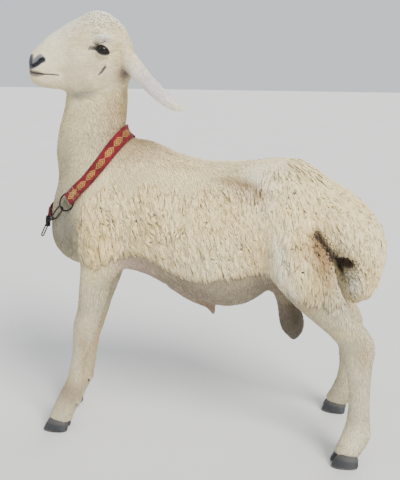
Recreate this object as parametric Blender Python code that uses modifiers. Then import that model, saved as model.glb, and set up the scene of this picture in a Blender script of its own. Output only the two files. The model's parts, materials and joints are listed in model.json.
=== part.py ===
"""A life-size still model of a fat-tailed ram wearing a webbing collar.

Metres, +Z up. The ram faces -X, its left side is -Y, and it stands on z = 0.
The flesh is lofted in pieces, fused into one skin, and parted again with thin
cuts into the nodes that a person would name. Ears, eyes, hoof claws, dewclaws
and the collar are solids of their own.
"""

import math

import bmesh
import bpy
import numpy as np
from mathutils import Matrix, Vector
from mathutils.bvhtree import BVHTree
from mathutils.kdtree import KDTree

# ---------------------------------------------------------------- dimensions

GAP = 0.0003            # clearance left between two touching solids
LEFT, RIGHT = -1, 1     # side of the ram, as the sign of Y
SIDE_NAMES = {LEFT: "left", RIGHT: "right"}

# The head has its own frame: +X to the nose, +Y to the ram's left, +Z up, and
# the origin midway between the eyes.
HEAD_AT = Vector((-0.237, -0.030, 1.018))
HEAD_YAW = math.radians(18.0)       # turned to the ram's left
EYE_RADIUS = 0.0155
EYE_SPREAD = 0.0530                 # eyeball centre from the middle plane
EAR_THICKNESS = 0.0050

CLAW_LENGTH = 0.066
CLAW_WIDTH = 0.0290
CLAW_HEIGHT = 0.0340                # at the front of the coronet
HEEL_HEIGHT = 0.0240
CLAW_CLEFT = 0.0036
DEWCLAW_SIZE = (0.0075, 0.0065, 0.0095)
DEWCLAW_APART = 0.0135      # each dewclaw's middle from the fetlock's

STRAP_WIDTH = 0.0350
STRAP_THICKNESS = 0.0034
STRAP_CLEARANCE = 0.0014
FOLD_THICKNESS = 0.0080             # where an end is folded back on itself
RING_RADIUS = 0.0225                # to the middle of the wire
RING_WIRE = 0.0021
HOOK_WIRE = 0.0018
HOOK_SIZE = (0.0480, 0.0134)        # length and width of the loop, to the middle of the wire
HANGING_WIRE = 0.0018
HANGING_SIZE = (0.0380, 0.0060)
STRAP_END_SIZE = (0.0110, 0.0260, 0.0130)
SWIVEL_RADIUS = 0.0042

FUSE_VOXEL = 0.0065
BODY_TRIANGLES = 4000

COAT = (0.78, 0.72, 0.60)
FACE = (0.80, 0.76, 0.68)
BARE_SKIN = (0.33, 0.27, 0.23)
HORN = (0.05, 0.055, 0.065)
EYE = (0.02, 0.015, 0.012)
WEBBING = (0.42, 0.05, 0.06)
STEEL = (0.05, 0.05, 0.055)


# ------------------------------------------------------------------- helpers

def clear_scene():
    """Removes whatever the file opened with."""
    for obj in list(bpy.data.objects):
        bpy.data.objects.remove(obj, do_unlink=True)


def make_material(name, colour, roughness, metallic=0.0):
    """A Principled material of one colour."""
    material = bpy.data.materials.new(name)
    material.use_nodes = True
    shader = material.node_tree.nodes["Principled BSDF"]
    shader.inputs["Base Color"].default_value = (*colour, 1.0)
    shader.inputs["Roughness"].default_value = roughness
    shader.inputs["Metallic"].default_value = metallic
    material.diffuse_color = (*colour, 1.0)
    return material


def make_object(name, mesh, collection, material=None):
    """Links a mesh into the collection as a named object."""
    obj = bpy.data.objects.new(name, mesh)
    collection.objects.link(obj)
    if material is not None:
        mesh.materials.clear()
        mesh.materials.append(material)
    return obj


def mesh_from(points, faces, name="shape"):
    """A mesh from points and faces, with its normals made consistent."""
    mesh = bpy.data.meshes.new(name)
    mesh.from_pydata([tuple(p) for p in points], [], faces)
    bm = bmesh.new()
    bm.from_mesh(mesh)
    bmesh.ops.recalc_face_normals(bm, faces=bm.faces)
    bm.to_mesh(mesh)
    bm.free()
    return mesh


def through(stations, per_span):
    """A smooth path through the stations: a Catmull-Rom curve, as an array."""
    rows = np.array(stations, float)
    rows = np.vstack([2 * rows[0] - rows[1], rows, 2 * rows[-1] - rows[-2]])
    path = []
    for i in range(1, len(rows) - 2):
        before, start, end, after = rows[i - 1:i + 3]
        for t in np.arange(per_span) / per_span:
            path.append(
                0.5 * (2 * start + (end - before) * t
                       + (2 * before - 5 * start + 4 * end - after) * t ** 2
                       + (3 * start - before - 3 * end + after) * t ** 3)
            )
    path.append(rows[-2])
    return np.array(path)


def loft(rings, name="loft"):
    """A closed skin over rings of equally many points, with fanned ends."""
    count = len(rings[0])
    points = [p for ring in rings for p in ring]
    faces = []
    for i in range(len(rings) - 1):
        for j in range(count):
            k = (j + 1) % count
            faces.append((i * count + j, i * count + k, (i + 1) * count + k, (i + 1) * count + j))
    for ring in (0, len(rings) - 1):
        centre = len(points)
        points.append(np.mean(rings[ring], axis=0))
        for j in range(count):
            faces.append((ring * count + j, ring * count + (j + 1) % count, centre))
    return mesh_from(points, faces, name)


def super_ring(count, across, up, down, exponent_up=2.0, exponent_down=2.0):
    """(sideways, upwards) offsets round a rounded section that may differ above and below."""
    ring = []
    for i in range(count):
        angle = 2 * math.pi * i / count
        cosine, sine = math.cos(angle), math.sin(angle)
        exponent, reach = (exponent_up, up) if sine >= 0 else (exponent_down, down)
        ring.append((
            across * math.copysign(abs(cosine) ** (2 / exponent), cosine),
            reach * math.copysign(abs(sine) ** (2 / exponent), sine),
        ))
    return ring


def limb(stations, per_span=5, sides=20, round_ends=True):
    """A tapering limb. Each station is x, y, z, half its depth along X-Z, half its width across Y."""
    path = through(stations, per_span)
    centres = path[:, :3]
    tangents = np.gradient(centres, axis=0)
    rings = []
    for i, (centre, tangent) in enumerate(zip(centres, tangents)):
        along = Vector(tangent).normalized()
        fore = Vector((0, 1, 0)).cross(along).normalized()
        side = along.cross(fore)
        depth, width = path[i, 3:5]
        rings.append([
            Vector(centre) + side * a + fore * b
            for a, b in super_ring(sides, width, depth, depth)
        ])
    if round_ends:
        for end, step in ((0, -1), (-1, 1)):
            tangent = Vector(tangents[end]).normalized() * step
            centre, size = Vector(centres[end]), min(path[end, 3:5])
            cap = [centre + tangent * size * 0.5 + (p - centre) * 0.72 for p in rings[end]]
            rings = [cap] + rings if end == 0 else rings + [cap]
    return loft(rings)


def joined(meshes, name):
    """One mesh holding all of these."""
    bm = bmesh.new()
    for mesh in meshes:
        bm.from_mesh(mesh)
    out = bpy.data.meshes.new(name)
    bm.to_mesh(out)
    bm.free()
    return out


def evaluated_mesh(obj):
    """The object's mesh with its modifiers and its place applied."""
    graph = bpy.context.evaluated_depsgraph_get()
    graph.update()
    mesh = bpy.data.meshes.new_from_object(obj.evaluated_get(graph))
    mesh.transform(obj.matrix_world)
    return mesh


def boolean(obj, cutter, operation):
    """The mesh of obj cut by or kept within the cutter."""
    modifier = obj.modifiers.new("cut", "BOOLEAN")
    modifier.operation = operation
    modifier.object = cutter
    modifier.solver = "EXACT"
    mesh = evaluated_mesh(obj)
    obj.modifiers.remove(modifier)
    return mesh


def coordinates(mesh):
    """The vertices of a mesh as an array."""
    found = np.empty(len(mesh.vertices) * 3, np.float32)
    mesh.vertices.foreach_get("co", found)
    return found.reshape(-1, 3).astype(float)


def store(mesh, points):
    """Writes the vertices back."""
    mesh.vertices.foreach_set("co", np.asarray(points, np.float32).ravel())
    mesh.update()


def relax(mesh, rounds, weight=None, shrink=0.50, swell=-0.53):
    """Smooths a mesh without shrinking it, everywhere or by a weight for each vertex."""
    points = coordinates(mesh)
    edges = np.empty(len(mesh.edges) * 2, np.int32)
    mesh.edges.foreach_get("vertices", edges)
    a, b = edges.reshape(-1, 2).T
    degree = np.bincount(np.concatenate([a, b]), minlength=len(points))[:, None]
    weight = np.ones((len(points), 1)) if weight is None else weight[:, None]
    for _ in range(rounds):
        for step in (shrink, swell):
            total = np.zeros_like(points)
            np.add.at(total, a, points[b])
            np.add.at(total, b, points[a])
            points += step * weight * (total / degree - points)
    store(mesh, points)


def head_to_world():
    """The matrix that places the head's own frame."""
    forward = Vector((-math.cos(HEAD_YAW), -math.sin(HEAD_YAW), 0))
    up = Vector((0, 0, 1))
    left = up.cross(forward)
    turn = Matrix((forward, left, up)).transposed().to_4x4()
    return Matrix.Translation(HEAD_AT) @ turn


# --------------------------------------------------------------------- flesh

# Each row of the trunk is x, top, bottom, half width, height of the widest level
# and how square the section is above and below it.
TRUNK = (
    (-0.394, 0.620, 0.515, 0.050, 0.565, 2.0, 2.0),
    (-0.380, 0.680, 0.486, 0.080, 0.565, 2.0, 2.0),
    (-0.340, 0.745, 0.460, 0.108, 0.570, 2.0, 2.1),
    (-0.280, 0.786, 0.450, 0.125, 0.580, 2.0, 2.1),
    (-0.210, 0.799, 0.450, 0.138, 0.585, 1.9, 2.1),
    (-0.140, 0.797, 0.441, 0.148, 0.585, 1.9, 2.1),
    (-0.070, 0.768, 0.408, 0.159, 0.580, 2.0, 2.1),
    (0.000, 0.749, 0.378, 0.166, 0.570, 2.1, 2.1),
    (0.070, 0.746, 0.362, 0.168, 0.570, 2.2, 2.1),
    (0.130, 0.750, 0.372, 0.160, 0.580, 2.2, 2.0),
    (0.185, 0.758, 0.412, 0.148, 0.600, 2.2, 2.0),
    (0.240, 0.757, 0.462, 0.138, 0.615, 2.2, 2.0),
    (0.290, 0.737, 0.512, 0.118, 0.625, 2.1, 2.0),
    (0.325, 0.705, 0.560, 0.090, 0.630, 2.0, 2.0),
    (0.345, 0.672, 0.590, 0.050, 0.630, 2.0, 2.0),
)

# Limbs: x, y, z, half depth, half width, for the left side from the top down.
FORELEG = (
    (-0.205, -0.062, 0.705, 0.062, 0.046),
    (-0.222, -0.085, 0.640, 0.082, 0.054),
    (-0.236, -0.098, 0.565, 0.082, 0.054),
    (-0.238, -0.103, 0.500, 0.064, 0.048),
    (-0.256, -0.103, 0.450, 0.045, 0.040),
    (-0.266, -0.103, 0.400, 0.040, 0.035),
    (-0.278, -0.103, 0.350, 0.034, 0.030),
    (-0.291, -0.104, 0.308, 0.0335, 0.0285),
    (-0.300, -0.105, 0.265, 0.0285, 0.0245),
    (-0.310, -0.106, 0.223, 0.0225, 0.0205),
    (-0.320, -0.107, 0.177, 0.0225, 0.0200),
    (-0.329, -0.108, 0.135, 0.0265, 0.0225),
    (-0.342, -0.109, 0.098, 0.0325, 0.0275),
    (-0.358, -0.110, 0.066, 0.0310, 0.0275),
    (-0.371, -0.111, 0.036, 0.0330, 0.0285),
    (-0.377, -0.111, 0.020, 0.0330, 0.0285),
)
HIND_LEG = (
    (0.222, -0.070, 0.685, 0.062, 0.058),
    (0.228, -0.088, 0.620, 0.080, 0.070),
    (0.252, -0.104, 0.550, 0.084, 0.072),
    (0.281, -0.113, 0.495, 0.077, 0.064),
    (0.308, -0.114, 0.448, 0.061, 0.050),
    (0.342, -0.108, 0.402, 0.048, 0.038),
    (0.384, -0.098, 0.354, 0.041, 0.031),
    (0.420, -0.091, 0.307, 0.043, 0.0285),
    (0.4245, -0.093, 0.255, 0.0365, 0.0265),
    (0.4285, -0.099, 0.215, 0.0310, 0.0235),
    (0.4310, -0.108, 0.165, 0.0285, 0.0225),
    (0.4315, -0.118, 0.115, 0.0310, 0.0245),
    (0.4290, -0.125, 0.080, 0.0370, 0.0285),
    (0.4170, -0.132, 0.052, 0.0340, 0.0280),
    (0.4070, -0.137, 0.030, 0.0340, 0.0290),
    (0.4020, -0.139, 0.016, 0.0340, 0.0290),
)
FORE_STRIDE = -0.015     # how far the right fore hoof stands ahead of the left one
HIND_STRIDE = -0.030
FORE_DRAWN_IN = 0.084    # how much nearer the right fore hoof stands to the middle
BETWEEN_FORELEGS = -0.040    # the upright plane that parts the two forelegs
# Share of that by which the leg is drawn in, against height.
DRAWN_IN_SHARES = ((0.0, 1.0), (0.10, 0.95), (0.31, 0.62), (0.45, 0.25), (0.60, 0.0))
# Share of the stride by which a right leg is set forward, against height.
STRIDE_SHARES = {
    "fore": ((0.0, 1.0), (0.09, 0.95), (0.19, 0.84), (0.28, 1.05), (0.36, 1.10), (0.46, 0.90),
             (0.64, 0.0)),
    "hind": ((0.0, 1.0), (0.09, 0.95), (0.19, 0.80), (0.30, 0.90), (0.38, 0.75), (0.48, 0.10),
             (0.54, 0.0)),
}

NECK = (
    (-0.225, 0.000, 0.600, 0.150, 0.100),
    (-0.255, 0.000, 0.680, 0.128, 0.094),
    (-0.281, 0.000, 0.750, 0.106, 0.083),
    (-0.283, -0.002, 0.805, 0.092, 0.073),
    (-0.272, -0.007, 0.860, 0.083, 0.065),
    (-0.261, -0.013, 0.915, 0.080, 0.060),
    (-0.248, -0.020, 0.970, 0.072, 0.056),
    (-0.232, -0.024, 1.015, 0.055, 0.048),
)

TAIL = (
    (0.262, 0.000, 0.672, 0.062, 0.088),
    (0.312, 0.000, 0.642, 0.066, 0.110),
    (0.361, 0.000, 0.601, 0.072, 0.118),
    (0.400, 0.000, 0.552, 0.073, 0.110),
    (0.412, 0.000, 0.505, 0.064, 0.092),
    (0.415, 0.000, 0.465, 0.052, 0.072),
    (0.411, 0.000, 0.432, 0.044, 0.060),
    (0.402, 0.000, 0.410, 0.026, 0.040),
)

SCROTUM = (
    (0.205, 0.000, 0.440, 0.030, 0.034),
    (0.225, 0.000, 0.400, 0.026, 0.032),
    (0.238, 0.000, 0.360, 0.029, 0.038),
    (0.248, 0.000, 0.325, 0.034, 0.044),
    (0.254, 0.000, 0.297, 0.027, 0.036),
    (0.255, 0.000, 0.280, 0.014, 0.020),
)

SHEATH = (
    (-0.075, 0.000, 0.425, 0.030, 0.036),
    (-0.020, 0.000, 0.392, 0.030, 0.034),
    (0.020, 0.000, 0.366, 0.022, 0.024),
    (0.034, 0.000, 0.342, 0.011, 0.013),
    (0.037, 0.000, 0.328, 0.007, 0.009),
)

# The head, in its own frame: x, top, bottom, half width, height of the widest
# level, and how square the section is above and below it.
SKULL = (
    (0.183, -0.022, -0.062, 0.016, -0.042, 2.0, 2.0),
    (0.179, -0.010, -0.076, 0.026, -0.043, 2.1, 2.1),
    (0.170, 0.000, -0.084, 0.0325, -0.044, 2.2, 2.3),
    (0.153, 0.015, -0.090, 0.0345, -0.044, 2.2, 2.4),
    (0.133, 0.034, -0.093, 0.0345, -0.040, 2.2, 2.4),
    (0.110, 0.049, -0.096, 0.0370, -0.034, 2.2, 2.3),
    (0.082, 0.065, -0.103, 0.0430, -0.024, 2.3, 2.2),
    (0.052, 0.080, -0.111, 0.0520, -0.010, 2.4, 2.1),
    (0.022, 0.094, -0.115, 0.0600, 0.000, 2.5, 2.0),
    (-0.006, 0.091, -0.113, 0.0640, 0.002, 2.4, 2.0),
    (-0.032, 0.077, -0.106, 0.0610, 0.000, 2.2, 2.0),
    (-0.056, 0.050, -0.090, 0.0530, -0.006, 2.0, 2.0),
    (-0.074, 0.012, -0.060, 0.0360, -0.018, 2.0, 2.0),
)

# The ear's middle line in the head's frame, on the left: x, y, z and full width.
EAR = (
    (-0.056, 0.049, -0.018, 0.053),
    (-0.076, 0.063, -0.040, 0.046),
    (-0.098, 0.080, -0.066, 0.040),
    (-0.122, 0.095, -0.090, 0.038),
    (-0.146, 0.108, -0.112, 0.033),
    (-0.168, 0.119, -0.128, 0.024),
    (-0.187, 0.127, -0.137, 0.008),
)
EAR_FACE = Vector((0.10, 0.86, 0.50))      # the way that the ear's outer side looks
EAR_CUP = 0.20                             # how far its edges curl under, as a share of its width


def trunk():
    """Barrel, chest and rump, as sections across the body."""
    rings = []
    for x, top, bottom, half, level, above, below in through(TRUNK, 3):
        ring = super_ring(28, half, top - level, level - bottom, above, below)
        rings.append([Vector((x, y, level + z)) for y, z in ring])
    return loft(rings)


def skull():
    """The head from poll to nose, placed in the world."""
    place = head_to_world()
    rings = []
    for x, top, bottom, half, level, above, below in through(SKULL, 4):
        ring = super_ring(28, half, top - level, level - bottom, above, below)
        rings.append([place @ Vector((x, y, level + z)) for y, z in ring])
    return loft(rings)


def stride_at(limb_name, side, z):
    """How far a leg is set forward at a height."""
    stride = {"fore": FORE_STRIDE, "hind": HIND_STRIDE}[limb_name] if side == RIGHT else 0.0
    return stride * float(np.interp(z, *zip(*STRIDE_SHARES[limb_name])))


def side_at(limb_name, side, y, z):
    """How far to the side a leg's place lies at a height."""
    drawn = FORE_DRAWN_IN if (limb_name, side) == ("fore", RIGHT) else 0.0
    return (abs(y) - drawn * float(np.interp(z, *zip(*DRAWN_IN_SHARES)))) * side


def on_side(stations, limb_name, side):
    """A limb's stations for either side."""
    return [(x + stride_at(limb_name, side, z), side_at(limb_name, side, y, z), z, depth, width)
            for x, y, z, depth, width in stations]


# How far each piece is smoothed into its neighbour where they meet.
BLENDS = {"trunk": 0.060, "skull": 0.030, "neck": 0.050, "tail": 0.030, "scrotum": 0.015,
          "sheath": 0.015, "foreleg": 0.050, "hind leg": 0.060}
BLEND_ROUNDS = 45

# Strokes that shape the face, in the head's frame, on both sides: centre, radius and push.
FACE_STROKES = (
    ((0.000, 0.058, 0.030), 0.024, (0.000, 0.0050, 0.0020)),     # brow over the eye
    ((0.040, 0.055, 0.004), 0.022, (0.000, -0.0040, 0.0000)),    # hollow in front of the eye
    ((0.035, 0.055, -0.070), 0.036, (0.000, 0.0045, -0.0010)),   # cheek
    ((0.098, 0.040, -0.052), 0.024, (0.000, -0.0030, 0.0000)),   # between lips and cheek
    ((0.150, 0.032, -0.022), 0.016, (0.000, 0.0030, 0.0000)),    # wing of the nostril
    ((0.168, 0.024, -0.028), 0.010, (-0.003, -0.0040, 0.0000)),  # nostril
)


def junction_weights(mesh, parts):
    """How much each vertex lies near a second piece, from 0 to 1."""
    trees = [(BLENDS[name], BVHTree.FromPolygons([v.co for v in part.vertices],
                                                 [p.vertices[:] for p in part.polygons]))
             for name, part in parts]
    weights = np.zeros(len(mesh.vertices))
    for i, vertex in enumerate(mesh.vertices):
        near = sorted((found[3], reach) for reach, tree in trees
                      if (found := tree.find_nearest(vertex.co, reach))[0] is not None)
        if len(near) > 1:
            share = max(0.0, 1 - near[1][0] / min(near[0][1], near[1][1]))
            weights[i] = share * share * (3 - 2 * share)
    return weights


def sculpt_face(mesh):
    """Pushes the soft forms of the face out and in, on both sides."""
    place = head_to_world()
    points = coordinates(mesh)
    for centre, radius, push in FACE_STROKES:
        for side in (LEFT, RIGHT):
            middle = np.array(place @ mirrored(centre, side))
            move = np.array(place.to_3x3() @ mirrored(push, side))
            share = np.clip(1 - np.linalg.norm(points - middle, axis=1) / radius, 0, 1)
            points += (share ** 2 * (3 - 2 * share))[:, None] * move
    store(mesh, points)


def whole_flesh(collection):
    """Every lofted piece fused into one closed skin and smoothed where the pieces meet."""
    parts = [("trunk", trunk()), ("skull", skull()), ("neck", limb(NECK, sides=24)),
             ("tail", limb(TAIL, sides=24)), ("scrotum", limb(SCROTUM)), ("sheath", limb(SHEATH))]
    for side in (LEFT, RIGHT):
        parts.append(("foreleg", limb(on_side(FORELEG, "fore", side))))
        parts.append(("hind leg", limb(on_side(HIND_LEG, "hind", side))))
        parts.append(("skull", ear_stub(side)))
    flesh = make_object("flesh", joined([part for _, part in parts], "flesh"), collection)
    fuse = flesh.modifiers.new("fuse", "REMESH")
    fuse.mode = "VOXEL"
    fuse.voxel_size = FUSE_VOXEL
    flesh.data = evaluated_mesh(flesh)
    flesh.modifiers.remove(fuse)
    relax(flesh.data, BLEND_ROUNDS, junction_weights(flesh.data, parts), swell=0.0)
    relax(flesh.data, 8)
    sculpt_face(flesh.data)
    for _, part in parts:
        bpy.data.meshes.remove(part)
    return flesh


def thin_out(flesh, triangles):
    """Leaves the skin with few triangles."""
    thin = flesh.modifiers.new("thin", "DECIMATE")
    thin.ratio = triangles / (2 * len(flesh.data.polygons))
    thin.use_collapse_triangulate = True
    flesh.data = evaluated_mesh(flesh)
    flesh.modifiers.remove(thin)


# ------------------------------------------------------------ ears and eyes

EAR_POINTS = 5          # points on each face of the ear's section


def mirrored(point, side):
    """A point of the head's left side, on either side of it."""
    return Vector((point[0], point[1] * -side, point[2]))


def ear_path():
    """The ear's stations, smoothed, from where it leaves the head."""
    return through(EAR, 2)


def ear_frame(path, i):
    """The directions along the ear, outward and sideways at a station."""
    before, after = path[max(i - 1, 0)], path[min(i + 1, len(path) - 1)]
    along = Vector(after[:3] - before[:3]).normalized()
    outward = (EAR_FACE - along * EAR_FACE.dot(along)).normalized()
    return along, outward, along.cross(outward)


def ear_ring(path, i, thickness, side, shift=0.0):
    """A curled leaf section, over the outer face and back along the inner one, in the world."""
    place = head_to_world()
    along, outward, sideways = ear_frame(path, i)
    centre, width = Vector(path[i][:3]) + along * shift, path[i][3]
    ring = []
    for face in (1, -1):
        for k in range(EAR_POINTS):
            s = face * math.cos(math.pi * (k + 0.5) / EAR_POINTS)
            rise = 0.5 * thickness * math.sqrt(1 - s * s) * face
            point = centre + sideways * (0.5 * width * s) + outward * (rise - EAR_CUP * width * s * s)
            ring.append(place @ mirrored(point, side))
    return ring


def ear_leaf(side):
    """The free leaf of an ear."""
    path = ear_path()
    return loft([ear_ring(path, i, EAR_THICKNESS * (1.8 if i < 3 else 1.0), side)
                 for i in range(1, len(path))])


def ear_stub(side):
    """The thick root of an ear, which fuses with the head."""
    path = ear_path()
    steps = ((0, -0.020), (0, 0.0), (1, 0.0), (2, 0.0))
    return loft([ear_ring(path, i, EAR_THICKNESS * 3.2, side, shift) for i, shift in steps])


def ear_cutter(side):
    """A box over everything beyond the plane where the free ear starts."""
    path = ear_path()
    along, outward, sideways = ear_frame(path, 1)
    place = head_to_world()
    rings = []
    for reach in (-GAP, 0.06):
        centre = Vector(path[1][:3]) + along * reach
        rings.append([place @ mirrored(centre + sideways * a + outward * b, side)
                      for a, b in ((-0.034, -0.022), (0.034, -0.022), (0.034, 0.02), (-0.034, 0.02))])
    return loft(rings)


def ball(centre, size, segments=12, rings=7):
    """An ellipsoid of the given half sizes, or a sphere if size is one number."""
    mesh = bpy.data.meshes.new("ball")
    bm = bmesh.new()
    bmesh.ops.create_uvsphere(bm, u_segments=segments, v_segments=rings, radius=1.0)
    bm.to_mesh(mesh)
    bm.free()
    half = (size, size, size) if isinstance(size, float) else size
    scale = Matrix.Diagonal((*half, 1.0))
    mesh.transform(Matrix.Translation(centre) @ scale)
    return mesh


def eye_centre(side):
    """The middle of an eyeball."""
    return head_to_world() @ mirrored((0.0, EYE_SPREAD, 0.0), side)


# ---------------------------------------------------------------------- feet

# Feet: heel to toe middle, and the turn of the toe to the outside, for the left side.
FEET = {
    "fore": {"at": (-0.3850, -0.1115), "turn": math.radians(4)},
    "hind": {"at": (0.4010, -0.1395), "turn": math.radians(6)},
}
FETLOCKS = {"fore": (-0.3155, -0.1090, 0.088), "hind": (0.4600, -0.1240, 0.080)}
CLAW_SIDES = 12


def foot_matrix(limb_name, side):
    """The frame of a foot: +X to the toe, +Y to the outside, on the floor."""
    foot = FEET[limb_name]
    x = foot["at"][0] + stride_at(limb_name, side, 0.0)
    y = side_at(limb_name, side, foot["at"][1], 0.0)
    toe = Vector((-math.cos(foot["turn"]), side * math.sin(foot["turn"]), 0))
    outside = Vector((0, 0, 1)).cross(toe) * -side
    turn = Matrix((toe, outside, Vector((0, 0, 1)))).transposed().to_4x4()
    return Matrix.Translation((x, y, 0)) @ turn


def coronet_height(x):
    """Height of the hoof's upper edge at a place along the foot."""
    share = x / CLAW_LENGTH + 0.5
    return HEEL_HEIGHT + (CLAW_HEIGHT - HEEL_HEIGHT) * share


def claw(limb_name, side, place):
    """One of a foot's two claws. Its place is -1 for the inner and +1 for the outer one."""
    frame = foot_matrix(limb_name, side)
    levels = ((0.0, 1.00, 0.0, 0.96), (0.25, 1.00, -0.0015, 1.0), (1.0, 0.80, -0.0075, 0.90))
    rings = []
    for level, length, shift, width in levels:
        ring = []
        for i in range(CLAW_SIDES):
            angle = 2 * math.pi * i / CLAW_SIDES
            cosine, sine = math.cos(angle), math.sin(angle)
            x = shift + 0.5 * CLAW_LENGTH * length * math.copysign(abs(cosine) ** 0.85, cosine)
            square = 0.80 if sine >= 0 else 0.35
            y = 0.5 * CLAW_WIDTH * width * math.copysign(abs(sine) ** square, sine)
            y *= 1 - 0.30 * max(0.0, cosine) ** 2 * (1 if sine >= 0 else 0.2)
            y += 0.5 * (CLAW_WIDTH + CLAW_CLEFT)
            ring.append(frame @ Vector((x, y * place, level * coronet_height(x))))
        rings.append(ring)
    return loft(rings)


def coronet_cutter(limb_name, side):
    """A block under the plane of a foot's coronet."""
    frame = foot_matrix(limb_name, side)
    rings = []
    for x in (-0.09, 0.09):
        top = coronet_height(x) + GAP
        rings.append([frame @ Vector((x, y, z))
                      for y, z in ((-0.06, -0.03), (0.06, -0.03), (0.06, top), (-0.06, top))])
    return loft(rings)


def dewclaw(limb_name, side, place, room=0.0):
    """A small horn behind the fetlock, or the hole for it when given room."""
    x, y, z = FETLOCKS[limb_name]
    size = tuple(half + room for half in DEWCLAW_SIZE)
    at = (x + stride_at(limb_name, side, z),
          side_at(limb_name, side, y, z) + DEWCLAW_APART * place, z)
    return ball(at, size, 6, 4)


# -------------------------------------------------------------------- cutting

def prism(outline, low, high, place=None):
    """A block whose outline in X-Z runs from y = low to y = high."""
    rings = [[(place or Matrix()) @ Vector((x, y, z)) for x, z in outline] for y in (low, high)]
    return loft(rings)


def tail_cell():
    """The room of the tail, which narrows between the hind legs."""
    levels = ((0.385, 0.330, 0.045, 0.372, 0.0690), (0.462, 0.330, 0.045, 0.372, 0.0750),
              (0.500, 0.330, 0.050, 0.366, 0.1260), (0.540, 0.326, 0.055, 0.342, 0.1260),
              (0.600, 0.314, 0.060, 0.316, 0.1260), (0.780, 0.330, 0.060, 0.332, 0.1260))
    rings = []
    for z, front, narrow, back, wide in levels:
        outline = ((front, -narrow), (front, narrow), (back, wide), (0.6, wide),
                   (0.6, -wide), (back, -wide))
        rings.append([Vector((x, y, z)) for x, y in outline])
    return loft(rings)


def triangulate(mesh):
    """Splits a block's faces, so that its grown copy folds along the same lines."""
    bm = bmesh.new()
    bm.from_mesh(mesh)
    bmesh.ops.triangulate(bm, faces=bm.faces)
    bm.to_mesh(mesh)
    bm.free()


def grown(mesh, by):
    """A copy of a block with every face moved out."""
    bm = bmesh.new()
    bm.from_mesh(mesh)
    bmesh.ops.recalc_face_normals(bm, faces=bm.faces)
    bm.normal_update()
    moved = [(v, v.co + v.normal * by * v.calc_shell_factor()) for v in bm.verts]
    for vertex, place in moved:
        vertex.co = place
    out = bpy.data.meshes.new("grown")
    bm.to_mesh(out)
    bm.free()
    return out


class Carver:
    """Parts the flesh into named solids with cutters that stay in their own collection."""

    def __init__(self, flesh, parts, cutters):
        self.rest = flesh
        self.parts = parts
        self.cutters = cutters

    def cutter(self, mesh):
        """A hidden object for a cutting mesh."""
        obj = make_object("cutter", mesh, self.cutters)
        obj.hide_render = True
        obj.display_type = "WIRE"
        return obj

    def take(self, name, cell, material, source=None):
        """Moves what lies in the cell from the source, or from the rest, to a node of its own."""
        source = source or self.rest
        triangulate(cell)
        inner, outer = self.cutter(cell), self.cutter(grown(cell, GAP))
        piece = make_object(name, boolean(source, inner, "INTERSECT"), self.parts, material)
        source.data = boolean(source, outer, "DIFFERENCE")
        return piece

    def carve(self, obj, mesh):
        """Cuts a hole into a node."""
        obj.data = boolean(obj, self.cutter(mesh), "DIFFERENCE")


def part_flesh(carver, coat, face, bare):
    """Parts the skin into head, jaw, neck, tail, scrotum, sheath, legs and trunk."""
    place = head_to_world()
    for side in (LEFT, RIGHT):
        carver.carve(carver.rest, ear_cutter(side))
    head = carver.take("head", prism(((-0.25, -0.026), (0.30, -0.191), (0.30, 0.2), (-0.25, 0.2)),
                                     -0.2, 0.2, place), face)
    jaw_outline = ((0.22, -0.0545), (0.178, -0.0545), (0.114, -0.0590), (0.004, -0.1000),
                   (0.004, -0.16), (0.22, -0.20))
    carver.take("lower_jaw", prism(jaw_outline, -0.2, 0.2, place), face, head)
    carver.take("neck", prism(((-0.60, 0.4286), (-0.05, 0.925), (-0.05, 1.3), (-0.6, 1.3)),
                              -0.3, 0.3), coat)
    carver.take("tail", tail_cell(), coat)
    carver.take("scrotum", prism(((0.17, 0.24), (0.30, 0.24), (0.30, 0.392), (0.17, 0.392)),
                                 -0.05, 0.05), bare)
    carver.take("sheath", prism(((0.0, 0.30), (0.06, 0.30), (0.06, 0.3595), (0.0, 0.3595)),
                                -0.03, 0.03), bare)
    for side, name in SIDE_NAMES.items():
        near, far = sorted((BETWEEN_FORELEGS, 0.2 * side))
        fore = carver.take(f"foreleg_{name}_upper",
                           prism(((-0.55, -0.02), (-0.19, -0.02), (-0.19, 0.445), (-0.55, 0.445)),
                                 near, far), coat)
        cut_foot(carver, fore, "fore", side, 0.300, coat)
        near, far = sorted((0.046 * side, 0.25 * side))
        hind = carver.take(f"hind_leg_{name}_upper",
                           prism(((0.225, -0.02), (0.60, -0.02), (0.60, 0.605), (0.225, 0.448)),
                                 near, far), coat)
        cut_foot(carver, hind, "hind", side, 0.292, coat)
    carver.rest.name = "trunk"
    return head


def cut_foot(carver, leg, limb_name, side, joint, coat):
    """Parts a leg at its middle joint, cuts it off at the coronet and seats its dewclaws."""
    name = leg.name.replace("upper", "lower")
    lower = carver.take(name, prism(((-0.6, -0.05), (0.7, -0.05), (0.7, joint), (-0.6, joint)),
                                    -0.3, 0.3), coat, leg)
    carver.carve(lower, coronet_cutter(limb_name, side))
    for place in (-1, 1):
        carver.carve(lower, dewclaw(limb_name, side, place, GAP))


# --------------------------------------------------------------------- collar

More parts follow.
